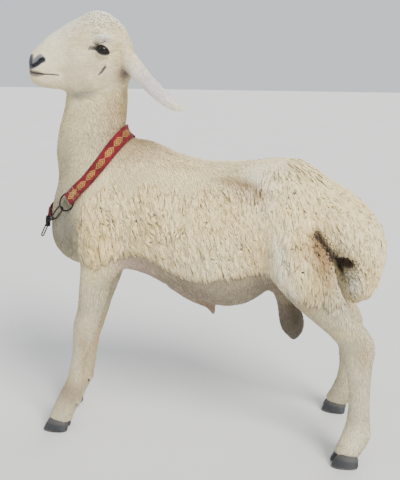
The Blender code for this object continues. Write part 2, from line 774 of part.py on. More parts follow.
# The strap's middle line, from the ring over the left side, the nape and the right side to the
# breast. Each point is drawn onto the flesh.
STRAP = (
    (-0.3110, -0.1050, 0.6525), (-0.2930, -0.1066, 0.6728), (-0.2640, -0.1021, 0.7063),
    (-0.2342, -0.0848, 0.7448), (-0.2081, -0.0557, 0.7839), (-0.1950, -0.0260, 0.8054),
    (-0.1900, 0.0000, 0.8120), (-0.1950, 0.0260, 0.8054), (-0.2081, 0.0557, 0.7839),
    (-0.2342, 0.0848, 0.7448), (-0.2640, 0.1021, 0.7063), (-0.3020, 0.1070, 0.6760),
    (-0.3480, 0.0920, 0.6480), (-0.3850, 0.0520, 0.6320), (-0.3980, 0.0120, 0.6160),
    (-0.3990, -0.0240, 0.6020), (-0.3860, -0.0640, 0.5860),
)
STRAP_STATIONS = 34
STRAP_COLUMNS = (-0.5, -0.25, 0.0, 0.25, 0.5)
FOLD_STATIONS = 3
STRAP_ROUNDS = 6            # how often the strap is raised where flesh still reaches into it
FEEL = 0.030                # how far round a point the flesh is averaged for its slope
RING_AHEAD = 0.0110         # ring centre beyond the strap's end
RING_LIFT = 0.0110          # ring wire above the flesh at its free side
HOOK_TO = Vector((-0.3640, -0.0950, 0.5960))
HOOK_LIFT = 0.0105
HOOK_TILT = math.radians(60)


class Surface:
    """The flesh as something to lay the collar on."""

    def __init__(self, mesh):
        self.tree = BVHTree.FromPolygons([v.co for v in mesh.vertices],
                                         [p.vertices[:] for p in mesh.polygons])
        self.normals = [v.normal.copy() for v in mesh.vertices]
        self.points = KDTree(len(mesh.vertices))
        for i, vertex in enumerate(mesh.vertices):
            self.points.insert(vertex.co, i)
        self.points.balance()

    def outward(self, point):
        """The flesh's mean slope near a point."""
        near = self.points.find_range(point, FEEL)
        return sum((self.normals[i] for _, i, _ in near), Vector()).normalized()

    def height(self, point, outward):
        """How far the flesh reaches beyond a point, measured along a direction."""
        hit = self.tree.ray_cast(point + outward * 0.08, -outward, 0.16)
        return 0.08 - hit[3] if hit[0] is not None else -0.08

    def drawn(self, point):
        """The nearest place on the flesh."""
        return self.tree.find_nearest(point)[0]


def resampled(path, count):
    """A path's points, evenly spaced."""
    steps = np.linalg.norm(np.diff(path, axis=0), axis=1)
    reach = np.concatenate([[0], np.cumsum(steps)])
    return np.stack([np.interp(np.linspace(0, reach[-1], count), reach, path[:, k])
                     for k in range(3)], axis=1)


def strap_frames(surface):
    """The strap's stations: middle of the inner face, along, outward and across directions."""
    line = [surface.drawn(Vector(p)) for p in STRAP]
    path = resampled(through([tuple(p) for p in line], 8), STRAP_STATIONS)
    outwards = [surface.outward(surface.drawn(Vector(p))) for p in path]
    frames = []
    for i, point in enumerate(path):
        along = Vector(path[min(i + 1, len(path) - 1)] - path[max(i - 1, 0)]).normalized()
        outward = sum(outwards[max(0, i - 2):i + 3], Vector()).normalized()
        outward = (outward - along * outward.dot(along)).normalized()
        frames.append((Vector(point), along, outward, along.cross(outward)))
    return frames


def smoothed(heights, rounds=4):
    """Evens out heights along the strap without letting any sink below the flesh."""
    smooth = heights
    for _ in range(rounds):
        padded = np.pad(smooth, ((1, 1), (0, 0)), mode="edge")
        smooth = np.maximum(heights, (padded[:-2] + 2 * padded[1:-1] + padded[2:]) / 4)
    return smooth


def sunk(surface, corners, outward):
    """How deep the deepest of the places between four corners lies in the flesh."""
    a, b, c, d = corners
    return max(surface.height(a.lerp(b, s).lerp(c.lerp(d, s), t), outward)
               for s in np.linspace(0, 1, 5) for t in np.linspace(0, 1, 5))


def laid_on(surface, frames):
    """The strap's inner face: a grid of points that stays clear of the flesh."""
    flat = [[point + across * (STRAP_WIDTH * share) for share in STRAP_COLUMNS]
            for point, _, _, across in frames]
    lift = smoothed(np.array([[surface.height(p, frame[2]) for p in row]
                              for row, frame in zip(flat, frames)])) + STRAP_CLEARANCE
    for _ in range(STRAP_ROUNDS):
        grid = [[p + frame[2] * float(h) for p, h in zip(row, heights)]
                for row, heights, frame in zip(flat, lift, frames)]
        raised = lift.copy()
        for i in range(len(grid) - 1):
            for j in range(len(STRAP_COLUMNS) - 1):
                corners = grid[i][j], grid[i][j + 1], grid[i + 1][j], grid[i + 1][j + 1]
                depth = sunk(surface, corners, frames[i][2]) + STRAP_CLEARANCE / 2
                if depth > 0:
                    raised[i:i + 2, j:j + 2] = np.maximum(raised[i:i + 2, j:j + 2],
                                                          lift[i:i + 2, j:j + 2] + depth)
        lift = raised
    return grid


def strap(surface):
    """The webbing laid on the flesh, thicker where its ends are folded back."""
    frames = strap_frames(surface)
    last = len(frames) - 1
    rings = []
    for i, (inner, (point, _, outward, _)) in enumerate(zip(laid_on(surface, frames), frames)):
        fold = min(i, last - i) < FOLD_STATIONS
        if fold:
            level = max((p - point).dot(outward) for p in inner)
            inner = [p + outward * (level - (p - point).dot(outward)) for p in inner]
        top = outward * (FOLD_THICKNESS if fold else STRAP_THICKNESS)
        rings.append(inner + [p + top for p in reversed(inner)])
    return loft(rings), rings


def middle_of(ring):
    """The middle of a section of the strap."""
    return sum(ring, Vector()) / len(ring)


def wire_loop(name, points, radius, collection):
    """A closed loop of wire through the points: a curve with a round bevel."""
    curve = bpy.data.curves.new(name, "CURVE")
    curve.dimensions = "3D"
    curve.bevel_depth = radius
    curve.bevel_resolution = 2
    spline = curve.splines.new("POLY")
    spline.points.add(len(points) - 1)
    for knot, point in zip(spline.points, points):
        knot.co = (*point, 1.0)
    spline.use_cyclic_u = True
    loop = bpy.data.objects.new(name, curve)
    collection.objects.link(loop)
    return loop


def primitive_mesh():
    """The mesh of the primitive that was just added, placed, with its object removed."""
    made = bpy.context.object
    bpy.context.view_layer.update()
    mesh = evaluated_mesh(made)
    bpy.data.objects.remove(made, do_unlink=True)
    return mesh


def torus(centre, normal, wire):
    """The collar's ring."""
    bpy.ops.mesh.primitive_torus_add(
        major_radius=RING_RADIUS, minor_radius=wire, major_segments=24, minor_segments=6,
        location=centre, rotation=normal.to_track_quat("Z", "Y").to_euler())
    return primitive_mesh()


def barrel(start, end, radius):
    """A round bar between two points."""
    bpy.ops.mesh.primitive_cylinder_add(
        vertices=16, radius=radius, depth=(end - start).length, location=(start + end) / 2,
        rotation=(end - start).to_track_quat("Z", "Y").to_euler())
    return primitive_mesh()


def block(size, place):
    """A box of the given size, placed."""
    mesh = bpy.data.meshes.new("block")
    bm = bmesh.new()
    bmesh.ops.create_cube(bm, size=1.0)
    bm.to_mesh(mesh)
    bm.free()
    mesh.transform(place @ Matrix.Diagonal((*size, 1.0)))
    return mesh


def loop_points(apex, along, sideways, size, steps=6):
    """A long closed loop from its apex: two straight bars between half circles."""
    length, half = size[0], 0.5 * size[1]
    points = []
    for middle, way in ((half, -1), (length - half, 1)):
        for i in range(steps):
            angle = math.pi * i / (steps - 1)
            points.append(apex + along * (middle + way * half * math.sin(angle))
                          - sideways * (half * math.cos(angle) * way))
    return points


class Collar:
    """The webbing slip collar: strap, ring, snap hook, swivel, end block and hanging hook."""

    def __init__(self, carver, surface, webbing, steel):
        self.carver = carver
        self.parts = carver.parts
        self.surface = surface
        self.webbing = webbing
        self.steel = steel

    def above(self, point, lift):
        """The place over a point at a height above the flesh, and the way out there."""
        outward = self.surface.outward(self.surface.drawn(point))
        return point + outward * (lift + self.surface.height(point, outward)), outward

    def build(self):
        """Adds every node of the collar."""
        mesh, self.sections = strap(self.surface)
        self.band = make_object("collar_strap", mesh, self.parts, self.webbing)
        self.add_ring()
        self.add_hook()
        self.add_strap_end()
        self.add_swivel()
        self.add_hanging_hook()

    def loop_in(self, name, points, radius, holder):
        """Adds a loop of wire and cuts room for it in the node that holds its end."""
        loop = wire_loop(name, points, radius, self.parts)
        loop.data.materials.append(self.steel)
        room = wire_loop("room", points, radius + GAP, self.carver.cutters)
        self.carver.carve(holder, evaluated_mesh(room))
        bpy.data.objects.remove(room, do_unlink=True)

    def add_ring(self):
        """The ring, whose wire runs in a tunnel through the strap's fold."""
        end = middle_of(self.sections[0])
        along = (end - middle_of(self.sections[1])).normalized()
        across = self.sections[0][len(STRAP_COLUMNS) - 1] - self.sections[0][0]
        free_side, outward = self.above(end + along * (RING_AHEAD + RING_RADIUS), RING_LIFT)
        ahead = (free_side - end).normalized()
        normal = ahead.cross(across).normalized()
        self.ring_normal = normal * math.copysign(1.0, normal.dot(outward))
        self.ring_at = end + ahead * RING_AHEAD
        tunnel = torus(self.ring_at, self.ring_normal, RING_WIRE + 1.5 * GAP)
        self.carver.carve(self.band, tunnel)
        make_object("collar_ring", torus(self.ring_at, self.ring_normal, RING_WIRE),
                    self.parts, self.steel)

    def add_hook(self):
        """The lie of the snap hook's loop, which holds the ring and rests along the neck."""
        aim = HOOK_TO - self.ring_at
        spoke = (aim - self.ring_normal * aim.dot(self.ring_normal)).normalized()
        grip = self.ring_at + spoke * RING_RADIUS
        far, _ = self.above(grip + (HOOK_TO - grip).normalized() * HOOK_SIZE[0], HOOK_LIFT)
        pull = (far - grip).normalized()
        level = pull.cross(self.ring_normal).normalized()
        sideways = level * math.cos(HOOK_TILT) + level.cross(pull) * math.sin(HOOK_TILT)
        apex = grip - pull * (RING_WIRE + HOOK_WIRE + GAP)
        self.hook_points = loop_points(apex, pull, sideways, HOOK_SIZE)
        self.hook_end = apex + pull * HOOK_SIZE[0]

    def add_strap_end(self):
        """The block on the strap's end."""
        tip = middle_of(self.sections[-1])
        down = (tip - middle_of(self.sections[-2])).normalized()
        wide = (self.sections[-1][0] - self.sections[-1][len(STRAP_COLUMNS) - 1]).normalized()
        turn = Matrix((wide.cross(down), wide, down)).transposed().to_4x4()
        at = tip + down * (0.5 * STRAP_END_SIZE[2] + GAP)
        self.end_place = Matrix.Translation(at) @ turn
        self.strap_end = make_object("strap_end", block(STRAP_END_SIZE, self.end_place),
                                     self.parts, self.steel)

    def add_swivel(self):
        """The barrel between the hook's loop and the block."""
        end = self.end_place.translation
        way = (end - self.hook_end).normalized()
        start = self.hook_end - way * SWIVEL_RADIUS
        swivel = make_object("snap_swivel", barrel(start, end, SWIVEL_RADIUS), self.parts, self.steel)
        room = tuple(size + 2 * GAP for size in STRAP_END_SIZE)
        self.carver.carve(swivel, block(room, self.end_place))
        self.loop_in("snap_hook", self.hook_points, HOOK_WIRE, swivel)

    def add_hanging_hook(self):
        """The thin loop that hangs from the block."""
        corner = self.end_place @ Vector((0, -0.25 * STRAP_END_SIZE[1], 0.5 * STRAP_END_SIZE[2]))
        apex = corner + Vector((0, 0, 2 * HANGING_WIRE))
        pull = Vector((-0.42, -0.10, -0.90)).normalized()
        sideways = pull.cross(Vector((0, 1, 0))).normalized()
        self.loop_in("hanging_hook", loop_points(apex, pull, sideways, HANGING_SIZE),
                     HANGING_WIRE, self.strap_end)


# --------------------------------------------------------------------- object

def centre_on_floor(parts):
    """Moves every part so that the origin is under the middle of the whole."""
    bpy.context.view_layer.update()
    corners = np.array([obj.matrix_world @ Vector(corner)
                        for obj in parts.objects for corner in obj.bound_box])
    low, high = corners.min(axis=0), corners.max(axis=0)
    shift = Vector((*(-(low + high) / 2)[:2], -low[2]))
    for obj in parts.objects:
        obj.location += shift


def shade(parts):
    """Shades the parts smooth, with sharp edges kept."""
    for obj in parts.objects:
        if obj.type == "MESH":
            obj.data.shade_smooth()
            obj.data.set_sharp_from_angle(angle=math.radians(35))


def main():
    """Builds the ram and its collar."""
    clear_scene()
    parts = bpy.data.collections.new("ram")
    cutters = bpy.data.collections.new("cutters")
    bpy.context.scene.collection.children.link(parts)
    bpy.context.scene.collection.children.link(cutters)
    coat = make_material("coat", COAT, 0.9)
    face = make_material("face", FACE, 0.8)
    bare = make_material("bare skin", BARE_SKIN, 0.7)
    horn = make_material("horn", HORN, 0.45)
    eye = make_material("eye", EYE, 0.1)
    webbing = make_material("webbing", WEBBING, 0.8)
    steel = make_material("steel", STEEL, 0.4, 0.9)

    flesh = whole_flesh(parts)
    thin_out(flesh, BODY_TRIANGLES)
    carver = Carver(flesh, parts, cutters)
    Collar(carver, Surface(flesh.data), webbing, steel).build()
    head = part_flesh(carver, coat, face, bare)
    flesh.data.materials.clear()
    flesh.data.materials.append(coat)
    for side, name in SIDE_NAMES.items():
        carver.carve(head, ball(eye_centre(side), EYE_RADIUS + GAP))
        make_object(f"eye_{name}", ball(eye_centre(side), EYE_RADIUS), parts, eye)
        make_object(f"ear_{name}", ear_leaf(side), parts, face)
        for foot in FEET:
            for place, where in ((-1, "inner"), (1, "outer")):
                hoof = f"{foot}_{name}_{where}"
                make_object(f"claw_{hoof}", claw(foot, side, place), parts, horn)
                make_object(f"dewclaw_{hoof}", dewclaw(foot, side, place), parts, horn)
    shade(parts)
    centre_on_floor(parts)


if __name__ == "__main__":
    main()
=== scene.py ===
"""Looks of a life-size ram: one skin, a coat of mesh tufts, eyes, hooves and a webbing collar.

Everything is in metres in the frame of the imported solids: the ram faces -X, its left side is -Y,
and it stands on z = 0. The skin is the solids' own surface, set in by the depth of the coat.
"""

import json
import logging
import math
import time
from contextlib import contextmanager
from dataclasses import dataclass, field
from enum import Enum
from typing import Callable, Iterable, Iterator, Optional, Sequence

import bmesh
import bpy
import numpy as np
from mathutils import Matrix, Vector
from mathutils.bvhtree import BVHTree

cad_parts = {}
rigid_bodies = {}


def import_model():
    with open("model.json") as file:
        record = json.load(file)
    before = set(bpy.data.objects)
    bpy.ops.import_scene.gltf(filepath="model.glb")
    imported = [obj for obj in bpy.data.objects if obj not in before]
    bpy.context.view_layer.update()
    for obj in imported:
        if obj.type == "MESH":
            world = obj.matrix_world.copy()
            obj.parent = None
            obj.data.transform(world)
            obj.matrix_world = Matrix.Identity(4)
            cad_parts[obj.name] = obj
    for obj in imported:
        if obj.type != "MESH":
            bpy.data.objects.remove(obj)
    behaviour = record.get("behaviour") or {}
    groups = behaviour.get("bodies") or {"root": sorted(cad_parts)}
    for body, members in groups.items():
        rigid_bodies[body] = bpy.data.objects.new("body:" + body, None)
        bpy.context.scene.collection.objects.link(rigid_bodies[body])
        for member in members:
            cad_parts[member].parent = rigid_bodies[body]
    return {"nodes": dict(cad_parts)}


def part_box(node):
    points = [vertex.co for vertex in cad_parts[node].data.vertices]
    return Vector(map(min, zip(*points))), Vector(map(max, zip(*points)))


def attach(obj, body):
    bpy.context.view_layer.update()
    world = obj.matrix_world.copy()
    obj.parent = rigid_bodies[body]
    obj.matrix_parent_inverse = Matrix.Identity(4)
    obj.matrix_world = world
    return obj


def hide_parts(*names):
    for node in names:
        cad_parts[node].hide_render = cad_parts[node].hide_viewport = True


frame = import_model()

log = logging.getLogger("ram")

Array = np.ndarray
Mesh, Object, Material = bpy.types.Mesh, bpy.types.Object, bpy.types.Material
Socket, Node, Tree = bpy.types.NodeSocket, bpy.types.Node, bpy.types.NodeTree
Place = Colour = tuple[float, float, float]

LEFT, RIGHT = -1, 1
SIDES = {LEFT: "left", RIGHT: "right"}

FLESH = ("trunk", "neck", "head", "lower_jaw", "tail", "scrotum", "sheath",
         "foreleg_left_upper", "foreleg_left_lower", "foreleg_right_upper", "foreleg_right_lower",
         "hind_leg_left_upper", "hind_leg_left_lower", "hind_leg_right_upper",
         "hind_leg_right_lower")
EARS = ("ear_left", "ear_right")


# ------------------------------------------------------------------- helpers

def smooth(low: float, high: float, value: Array) -> Array:
    """A soft step, from 0 where the value is low to 1 where it is high."""
    share = np.clip((np.asarray(value, float) - low) / (high - low), 0.0, 1.0)
    return share * share * (3 - 2 * share)


def rows_of(data: Sequence, key: str, width: int = 3, kind: type = np.float32) -> Array:
    """Reads one value of everything in a collection.

    Args:
        data: the collection, such as a mesh's vertices.
        key: the value's name.
        width: how many numbers it has.
        kind: the numbers' type.

    Returns:
        A row for each member.
    """
    found = np.empty(len(data) * width, kind)
    data.foreach_get(key, found)
    return found.reshape(-1, width)


def coordinates(mesh: Mesh) -> Array:
    """The vertices of a mesh as an array."""
    return rows_of(mesh.vertices, "co").astype(float)


def vertex_normals(mesh: Mesh) -> Array:
    """The normals at the vertices as an array."""
    return rows_of(mesh.vertex_normals, "vector").astype(float)


def tree_of(mesh: Mesh) -> BVHTree:
    """A mesh's faces, ready to be searched."""
    return BVHTree.FromPolygons([v.co for v in mesh.vertices],
                                [p.vertices[:] for p in mesh.polygons])


@contextmanager
def edited(mesh: Mesh) -> Iterator[bmesh.types.BMesh]:
    """Opens a mesh for editing, and writes it back.

    Args:
        mesh: the mesh.

    Yields:
        Its editable form.
    """
    bm = bmesh.new()
    bm.from_mesh(mesh)
    yield bm
    bm.to_mesh(mesh)
    bm.free()


def place_vertices(mesh: Mesh, points: Array) -> None:
    """Writes the vertices back."""
    mesh.vertices.foreach_set("co", np.asarray(points, np.float32).ravel())
    mesh.update()


def unit(rows: Array) -> Array:
    """Rows scaled to length one."""
    return rows / np.maximum(np.linalg.norm(rows, axis=-1, keepdims=True), 1e-9)


def make_mesh(name: str, points: Iterable, faces: Iterable) -> Mesh:
    """A mesh with its normals made consistent.

    Args:
        name: what to call it.
        points: its vertices.
        faces: its faces, as rows of vertex numbers.

    Returns:
        The mesh.
    """
    mesh = bpy.data.meshes.new(name)
    mesh.from_pydata([tuple(map(float, p)) for p in points], [],
                     [tuple(map(int, f)) for f in faces])
    with edited(mesh) as bm:
        bmesh.ops.recalc_face_normals(bm, faces=bm.faces)
    return mesh


def make_object(name: str, mesh: bpy.types.ID) -> Object:
    """An object in the scene that holds the mesh or curve.

    Args:
        name: what to call it.
        mesh: the mesh, curve, lamp or camera.

    Returns:
        The object.
    """
    obj = bpy.data.objects.new(name, mesh)
    bpy.context.scene.collection.objects.link(obj)
    return obj


def evaluated(obj: Object) -> Mesh:
    """The object's mesh with its modifiers applied.

    Args:
        obj: the object.

    Returns:
        The mesh.
    """
    graph = bpy.context.evaluated_depsgraph_get()
    graph.update()
    return bpy.data.meshes.new_from_object(obj.evaluated_get(graph), depsgraph=graph)


def discard(obj: Object) -> None:
    """Removes a helper object."""
    bpy.data.objects.remove(obj, do_unlink=True)


def with_modifier(obj: Object, kind: str, **settings: object) -> None:
    """Applies one modifier to an object's mesh.

    Args:
        obj: the object.
        kind: the modifier's type.
        settings: its settings.
    """
    modifier = obj.modifiers.new(kind.lower(), kind)
    for name, value in settings.items():
        setattr(modifier, name, value)
    mesh = evaluated(obj)
    obj.modifiers.remove(modifier)
    obj.data = mesh


def run_nodes(obj: Object, tree: Tree, values: dict[str, object]) -> Mesh:
    """Runs Geometry Nodes on an object.

    Args:
        obj: the object.
        tree: the nodes.
        values: the tree's inputs, by name.

    Returns:
        The plain mesh that they make.
    """
    modifier = obj.modifiers.new(tree.name, "NODES")
    modifier.node_group = tree
    for item in tree.interface.items_tree:
        if item.in_out == "INPUT" and item.name in values:
            modifier[item.identifier] = values[item.name]
    mesh = evaluated(obj)
    obj.modifiers.remove(modifier)
    return mesh


def smooth_shaded(mesh: Mesh) -> None:
    """Shades every face of the mesh smooth."""
    mesh.polygons.foreach_set("use_smooth", [True] * len(mesh.polygons))


def store(mesh: Mesh, fields: dict[str, Array]) -> None:
    """Stores fields on a mesh's vertices.

    Args:
        mesh: the mesh.
        fields: numbers, vectors or, under the name tint, colours.
    """
    for name, values in fields.items():
        kind, key, rows = "FLOAT_VECTOR", "vector", values
        if values.ndim == 1:
            kind, key = "FLOAT", "value"
        elif name == "tint":
            kind, key = "FLOAT_COLOR", "color"
            rows = np.column_stack([values, np.ones(len(values))])
        layer = mesh.attributes.new(name, kind, "POINT")
        layer.data.foreach_set(key, rows.astype(np.float32).ravel())


def finished(obj: Object, slot: str, *nodes: str) -> Object:
    """Lets a finished piece ride on the body and stand for its solids.

    Args:
        obj: the piece.
        slot: the record's material slot; not used.
        nodes: the solids that it replaces.

    Returns:
        The piece.
    """
    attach(obj, "root")
    if nodes:
        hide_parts(*nodes)
    faces = len(obj.data.polygons) if obj.type == "MESH" else 0
    log.info("%s: %d faces", obj.name, faces)
    return obj


def piece(name: str, mesh: Mesh, finish: Material, slot: str, *nodes: str) -> Object:
    """Dresses a mesh and makes it a piece.

    Args:
        name: what to call it.
        mesh: its mesh.
        finish: its material.
        slot: the record's material slot.
        nodes: the solids that it replaces.

    Returns:
        The piece.
    """
    mesh.materials.clear()
    mesh.materials.append(finish)
    mesh.polygons.foreach_set("material_index", [0] * len(mesh.polygons))
    return finished(make_object(name, mesh), slot, *nodes)


def joined(meshes: Sequence[Mesh], name: str) -> Mesh:
    """One mesh holding all of these.

    Args:
        meshes: the meshes.
        name: what to call it.

    Returns:
        The mesh.
    """
    bm = bmesh.new()
    for mesh in meshes:
        bm.from_mesh(mesh)
    out = bpy.data.meshes.new(name)
    bm.to_mesh(out)
    bm.free()
    return out


def solid_copy(node: str, swell: float = 0.0) -> Mesh:
    """A merged copy of a solid's mesh.

    Args:
        node: the solid's name.
        swell: how far its vertices are moved out.

    Returns:
        The copy.
    """
    bm = bmesh.new()
    bm.from_mesh(frame["nodes"][node].data)
    bmesh.ops.remove_doubles(bm, verts=bm.verts, dist=1e-5)
    bm.normal_update()
    if swell:
        for vertex in bm.verts:
            vertex.co += vertex.normal * swell
    out = bpy.data.meshes.new(node + "_copy")
    bm.to_mesh(out)
    bm.free()
    return out


def through(stations: Sequence, per_span: int) -> Array:
    """A smooth path through the stations.

    Args:
        stations: rows of numbers.
        per_span: steps between two rows.

    Returns:
        The path's rows.
    """
    rows = np.array(stations, float)
    rows = np.vstack([2 * rows[0] - rows[1], rows, 2 * rows[-1] - rows[-2]])
    path = []
    for i in range(1, len(rows) - 2):
        before, start, end, after = rows[i - 1:i + 3]
        for t in np.arange(per_span) / per_span:
            path.append(0.5 * (2 * start + (end - before) * t
                               + (2 * before - 5 * start + 4 * end - after) * t ** 2
                               + (3 * start - before - 3 * end + after) * t ** 3))
    path.append(rows[-2])
    return np.array(path)


def resampled(path: Array, count: int) -> Array:
    """A path's points, evenly spaced.

    Args:
        path: rows of numbers, of which the first three are a place.
        count: how many rows to give.

    Returns:
        The rows.
    """
    steps = np.linalg.norm(np.diff(path[:, :3], axis=0), axis=1)
    reach = np.concatenate([[0.0], np.cumsum(steps)])
    return np.stack([np.interp(np.linspace(0, reach[-1], count), reach, column)
                     for column in path.T], axis=1)


def to_segments(points: Array, line: Array) -> tuple[Array, Array]:
    """How far points lie from a line of segments.

    Args:
        points: the places.
        line: the line's points.

    Returns:
        Each place's distance, and how far along the line its nearest point lies, from 0 to 1.
    """
    best = np.full(len(points), 1e9)
    share = np.zeros(len(points))
    for i in range(len(line) - 1):
        start, step = line[i], line[i + 1] - line[i]
        t = np.clip((points - start) @ step / max(step @ step, 1e-12), 0, 1)
        away = np.linalg.norm(points - start - t[:, None] * step, axis=1)
        nearer = away < best
        best = np.where(nearer, away, best)
        share = np.where(nearer, (i + t) / (len(line) - 1), share)
    return best, share


def swept(rings: Sequence[Sequence], closed_ends: bool = True, around: bool = True) -> tuple:
    """A skin over rings of equally many points.

    Args:
        rings: the rings' points.
        closed_ends: whether the first and last rings are fanned shut.
        around: whether the last ring joins the first instead.

    Returns:
        Its points and faces.
    """
    count = len(rings[0])
    points = [p for ring in rings for p in ring]
    last = len(rings) - 1
    faces = []
    for i in range(len(rings) if not closed_ends and around else last):
        j = (i + 1) % len(rings)
        for k in range(count):
            n = (k + 1) % count
            faces.append((i * count + k, i * count + n, j * count + n, j * count + k))
    if closed_ends:
        for ring in (0, last):
            centre = len(points)
            points.append(np.mean(np.array(rings[ring], float), axis=0))
            faces += [(ring * count + k, ring * count + (k + 1) % count, centre)
                      for k in range(count)]
    return points, faces


def shell(name: str, rings: Sequence[Sequence], layers: Optional[dict] = None) -> Mesh:
    """A closed smooth skin over rings.

    Args:
        name: what to call it.
        rings: the rings' points.
        layers: fields to store on it.

    Returns:
        The mesh.
    """
    mesh = make_mesh(name, *swept(rings))
    store(mesh, layers or {})
    smooth_shaded(mesh)
    return mesh


def tube(name: str, path: Array, radii: Sequence[float], sides: int = 12,
         looped: bool = False) -> Mesh:
    """A round bar along a path.

    Args:
        name: what to call it.
        path: the points of its middle line.
        radii: its radius at each point.
        sides: how many sides its section has.
        looped: whether its end joins its start.

    Returns:
        The mesh.
    """
    tangents = unit(np.roll(path, -1, 0) - np.roll(path, 1, 0) if looped
                    else np.gradient(path, axis=0))
    side = unit(np.cross(tangents[0], (0.31, 0.22, 0.92)))
    rings = []
    for point, tangent, radius in zip(path, tangents, radii):
        side = unit(side - tangent * (side @ tangent))
        other = np.cross(tangent, side)
        angles = 2 * np.pi * np.arange(sides) / sides
        rings.append([point + radius * (side * math.cos(a) + other * math.sin(a)) for a in angles])
    if looped:
        first = rings[0][0] - path[0]
        twist = math.atan2(np.cross(side, first) @ tangents[-1], side @ first)
        for i, (point, tangent) in enumerate(zip(path, tangents)):
            turn = np.array(Matrix.Rotation(twist * i / len(path), 3, Vector(tangent)))
            rings[i] = [point + turn @ (p - point) for p in rings[i]]
    mesh = make_mesh(name, *swept(rings, closed_ends=not looped))
    smooth_shaded(mesh)
    return mesh


# ------------------------------------------------------------ building nodes

class Graph:
    """A node tree being built."""

    def __init__(self, tree: Tree) -> None:
        """Starts on a tree."""
        self.tree = tree

    @staticmethod
    def socket(sockets: Iterable, key: object) -> Socket:
        """One of a node's sockets.

        Args:
            sockets: the node's inputs or outputs.
            key: the name of one in use, or a number.

        Returns:
            The socket.
        """
        if isinstance(key, int):
            return sockets[key]
        return next(s for s in sockets if s.enabled and s.name == key)

    def add(self, kind: str, inputs: Optional[dict] = None, **settings: object) -> Node:
        """Adds a node.

        Args:
            kind: the node's type.
            inputs: values or sockets for its inputs, by name or number.
            settings: its settings.

        Returns:
            The node.
        """
        node = self.tree.nodes.new(kind)
        for name, value in settings.items():
            setattr(node, name, value)
        self.feed(node, inputs or {})
        return node

    def feed(self, node: Node, inputs: dict) -> None:
        """Sets or links a node's inputs.

        Args:
            node: the node.
            inputs: values or sockets, by name or number.
        """
        for key, value in inputs.items():
            target = self.socket(node.inputs, key)
            if isinstance(value, Socket):
                self.tree.links.new(value, target)
            else:
                target.default_value = value

    def out(self, node: Node, key: object = 0) -> Socket:
        """One of a node's outputs."""
        return self.socket(node.outputs, key)

    def maths(self, operation: str, *parts: object, **settings: object) -> Socket:
        """The result of a sum on numbers or sockets."""
        return self.add("ShaderNodeMath", dict(enumerate(parts)), operation=operation,
                        **settings).outputs[0]

    def vectors(self, operation: str, inputs: dict) -> Socket:
        """The result of a sum on vectors."""
        return self.add("ShaderNodeVectorMath", inputs, operation=operation).outputs[0]

    def stored(self, name: str, kind: str = "FLOAT") -> Socket:
        """A field stored on the mesh that the tree works on."""
        return self.out(self.add("GeometryNodeInputNamedAttribute", {"Name": name},
                                 data_type=kind), "Attribute")

    def chance(self, low: object, high: object, seed: int, kind: str = "FLOAT") -> Socket:
        """A random number for each point, the same on every run."""
        return self.out(self.add("FunctionNodeRandomValue",
                                 {"Min": low, "Max": high, "Seed": seed}, data_type=kind), "Value")

    def ask(self, kinds: dict[str, str]) -> Callable[[str], Socket]:
        """Gives the tree its geometry in and out and its named inputs.

        Args:
            kinds: each input's kind, by name.

        Returns:
            What finds an input's socket by its name.
        """
        for name, kind in {"Geometry": "Geometry", **kinds}.items():
            self.tree.interface.new_socket(name, in_out="INPUT", socket_type="NodeSocket" + kind)
        self.tree.interface.new_socket("Geometry", in_out="OUTPUT",
                                       socket_type="NodeSocketGeometry")
        given = self.add("NodeGroupInput")
        return lambda name: self.out(given, name)


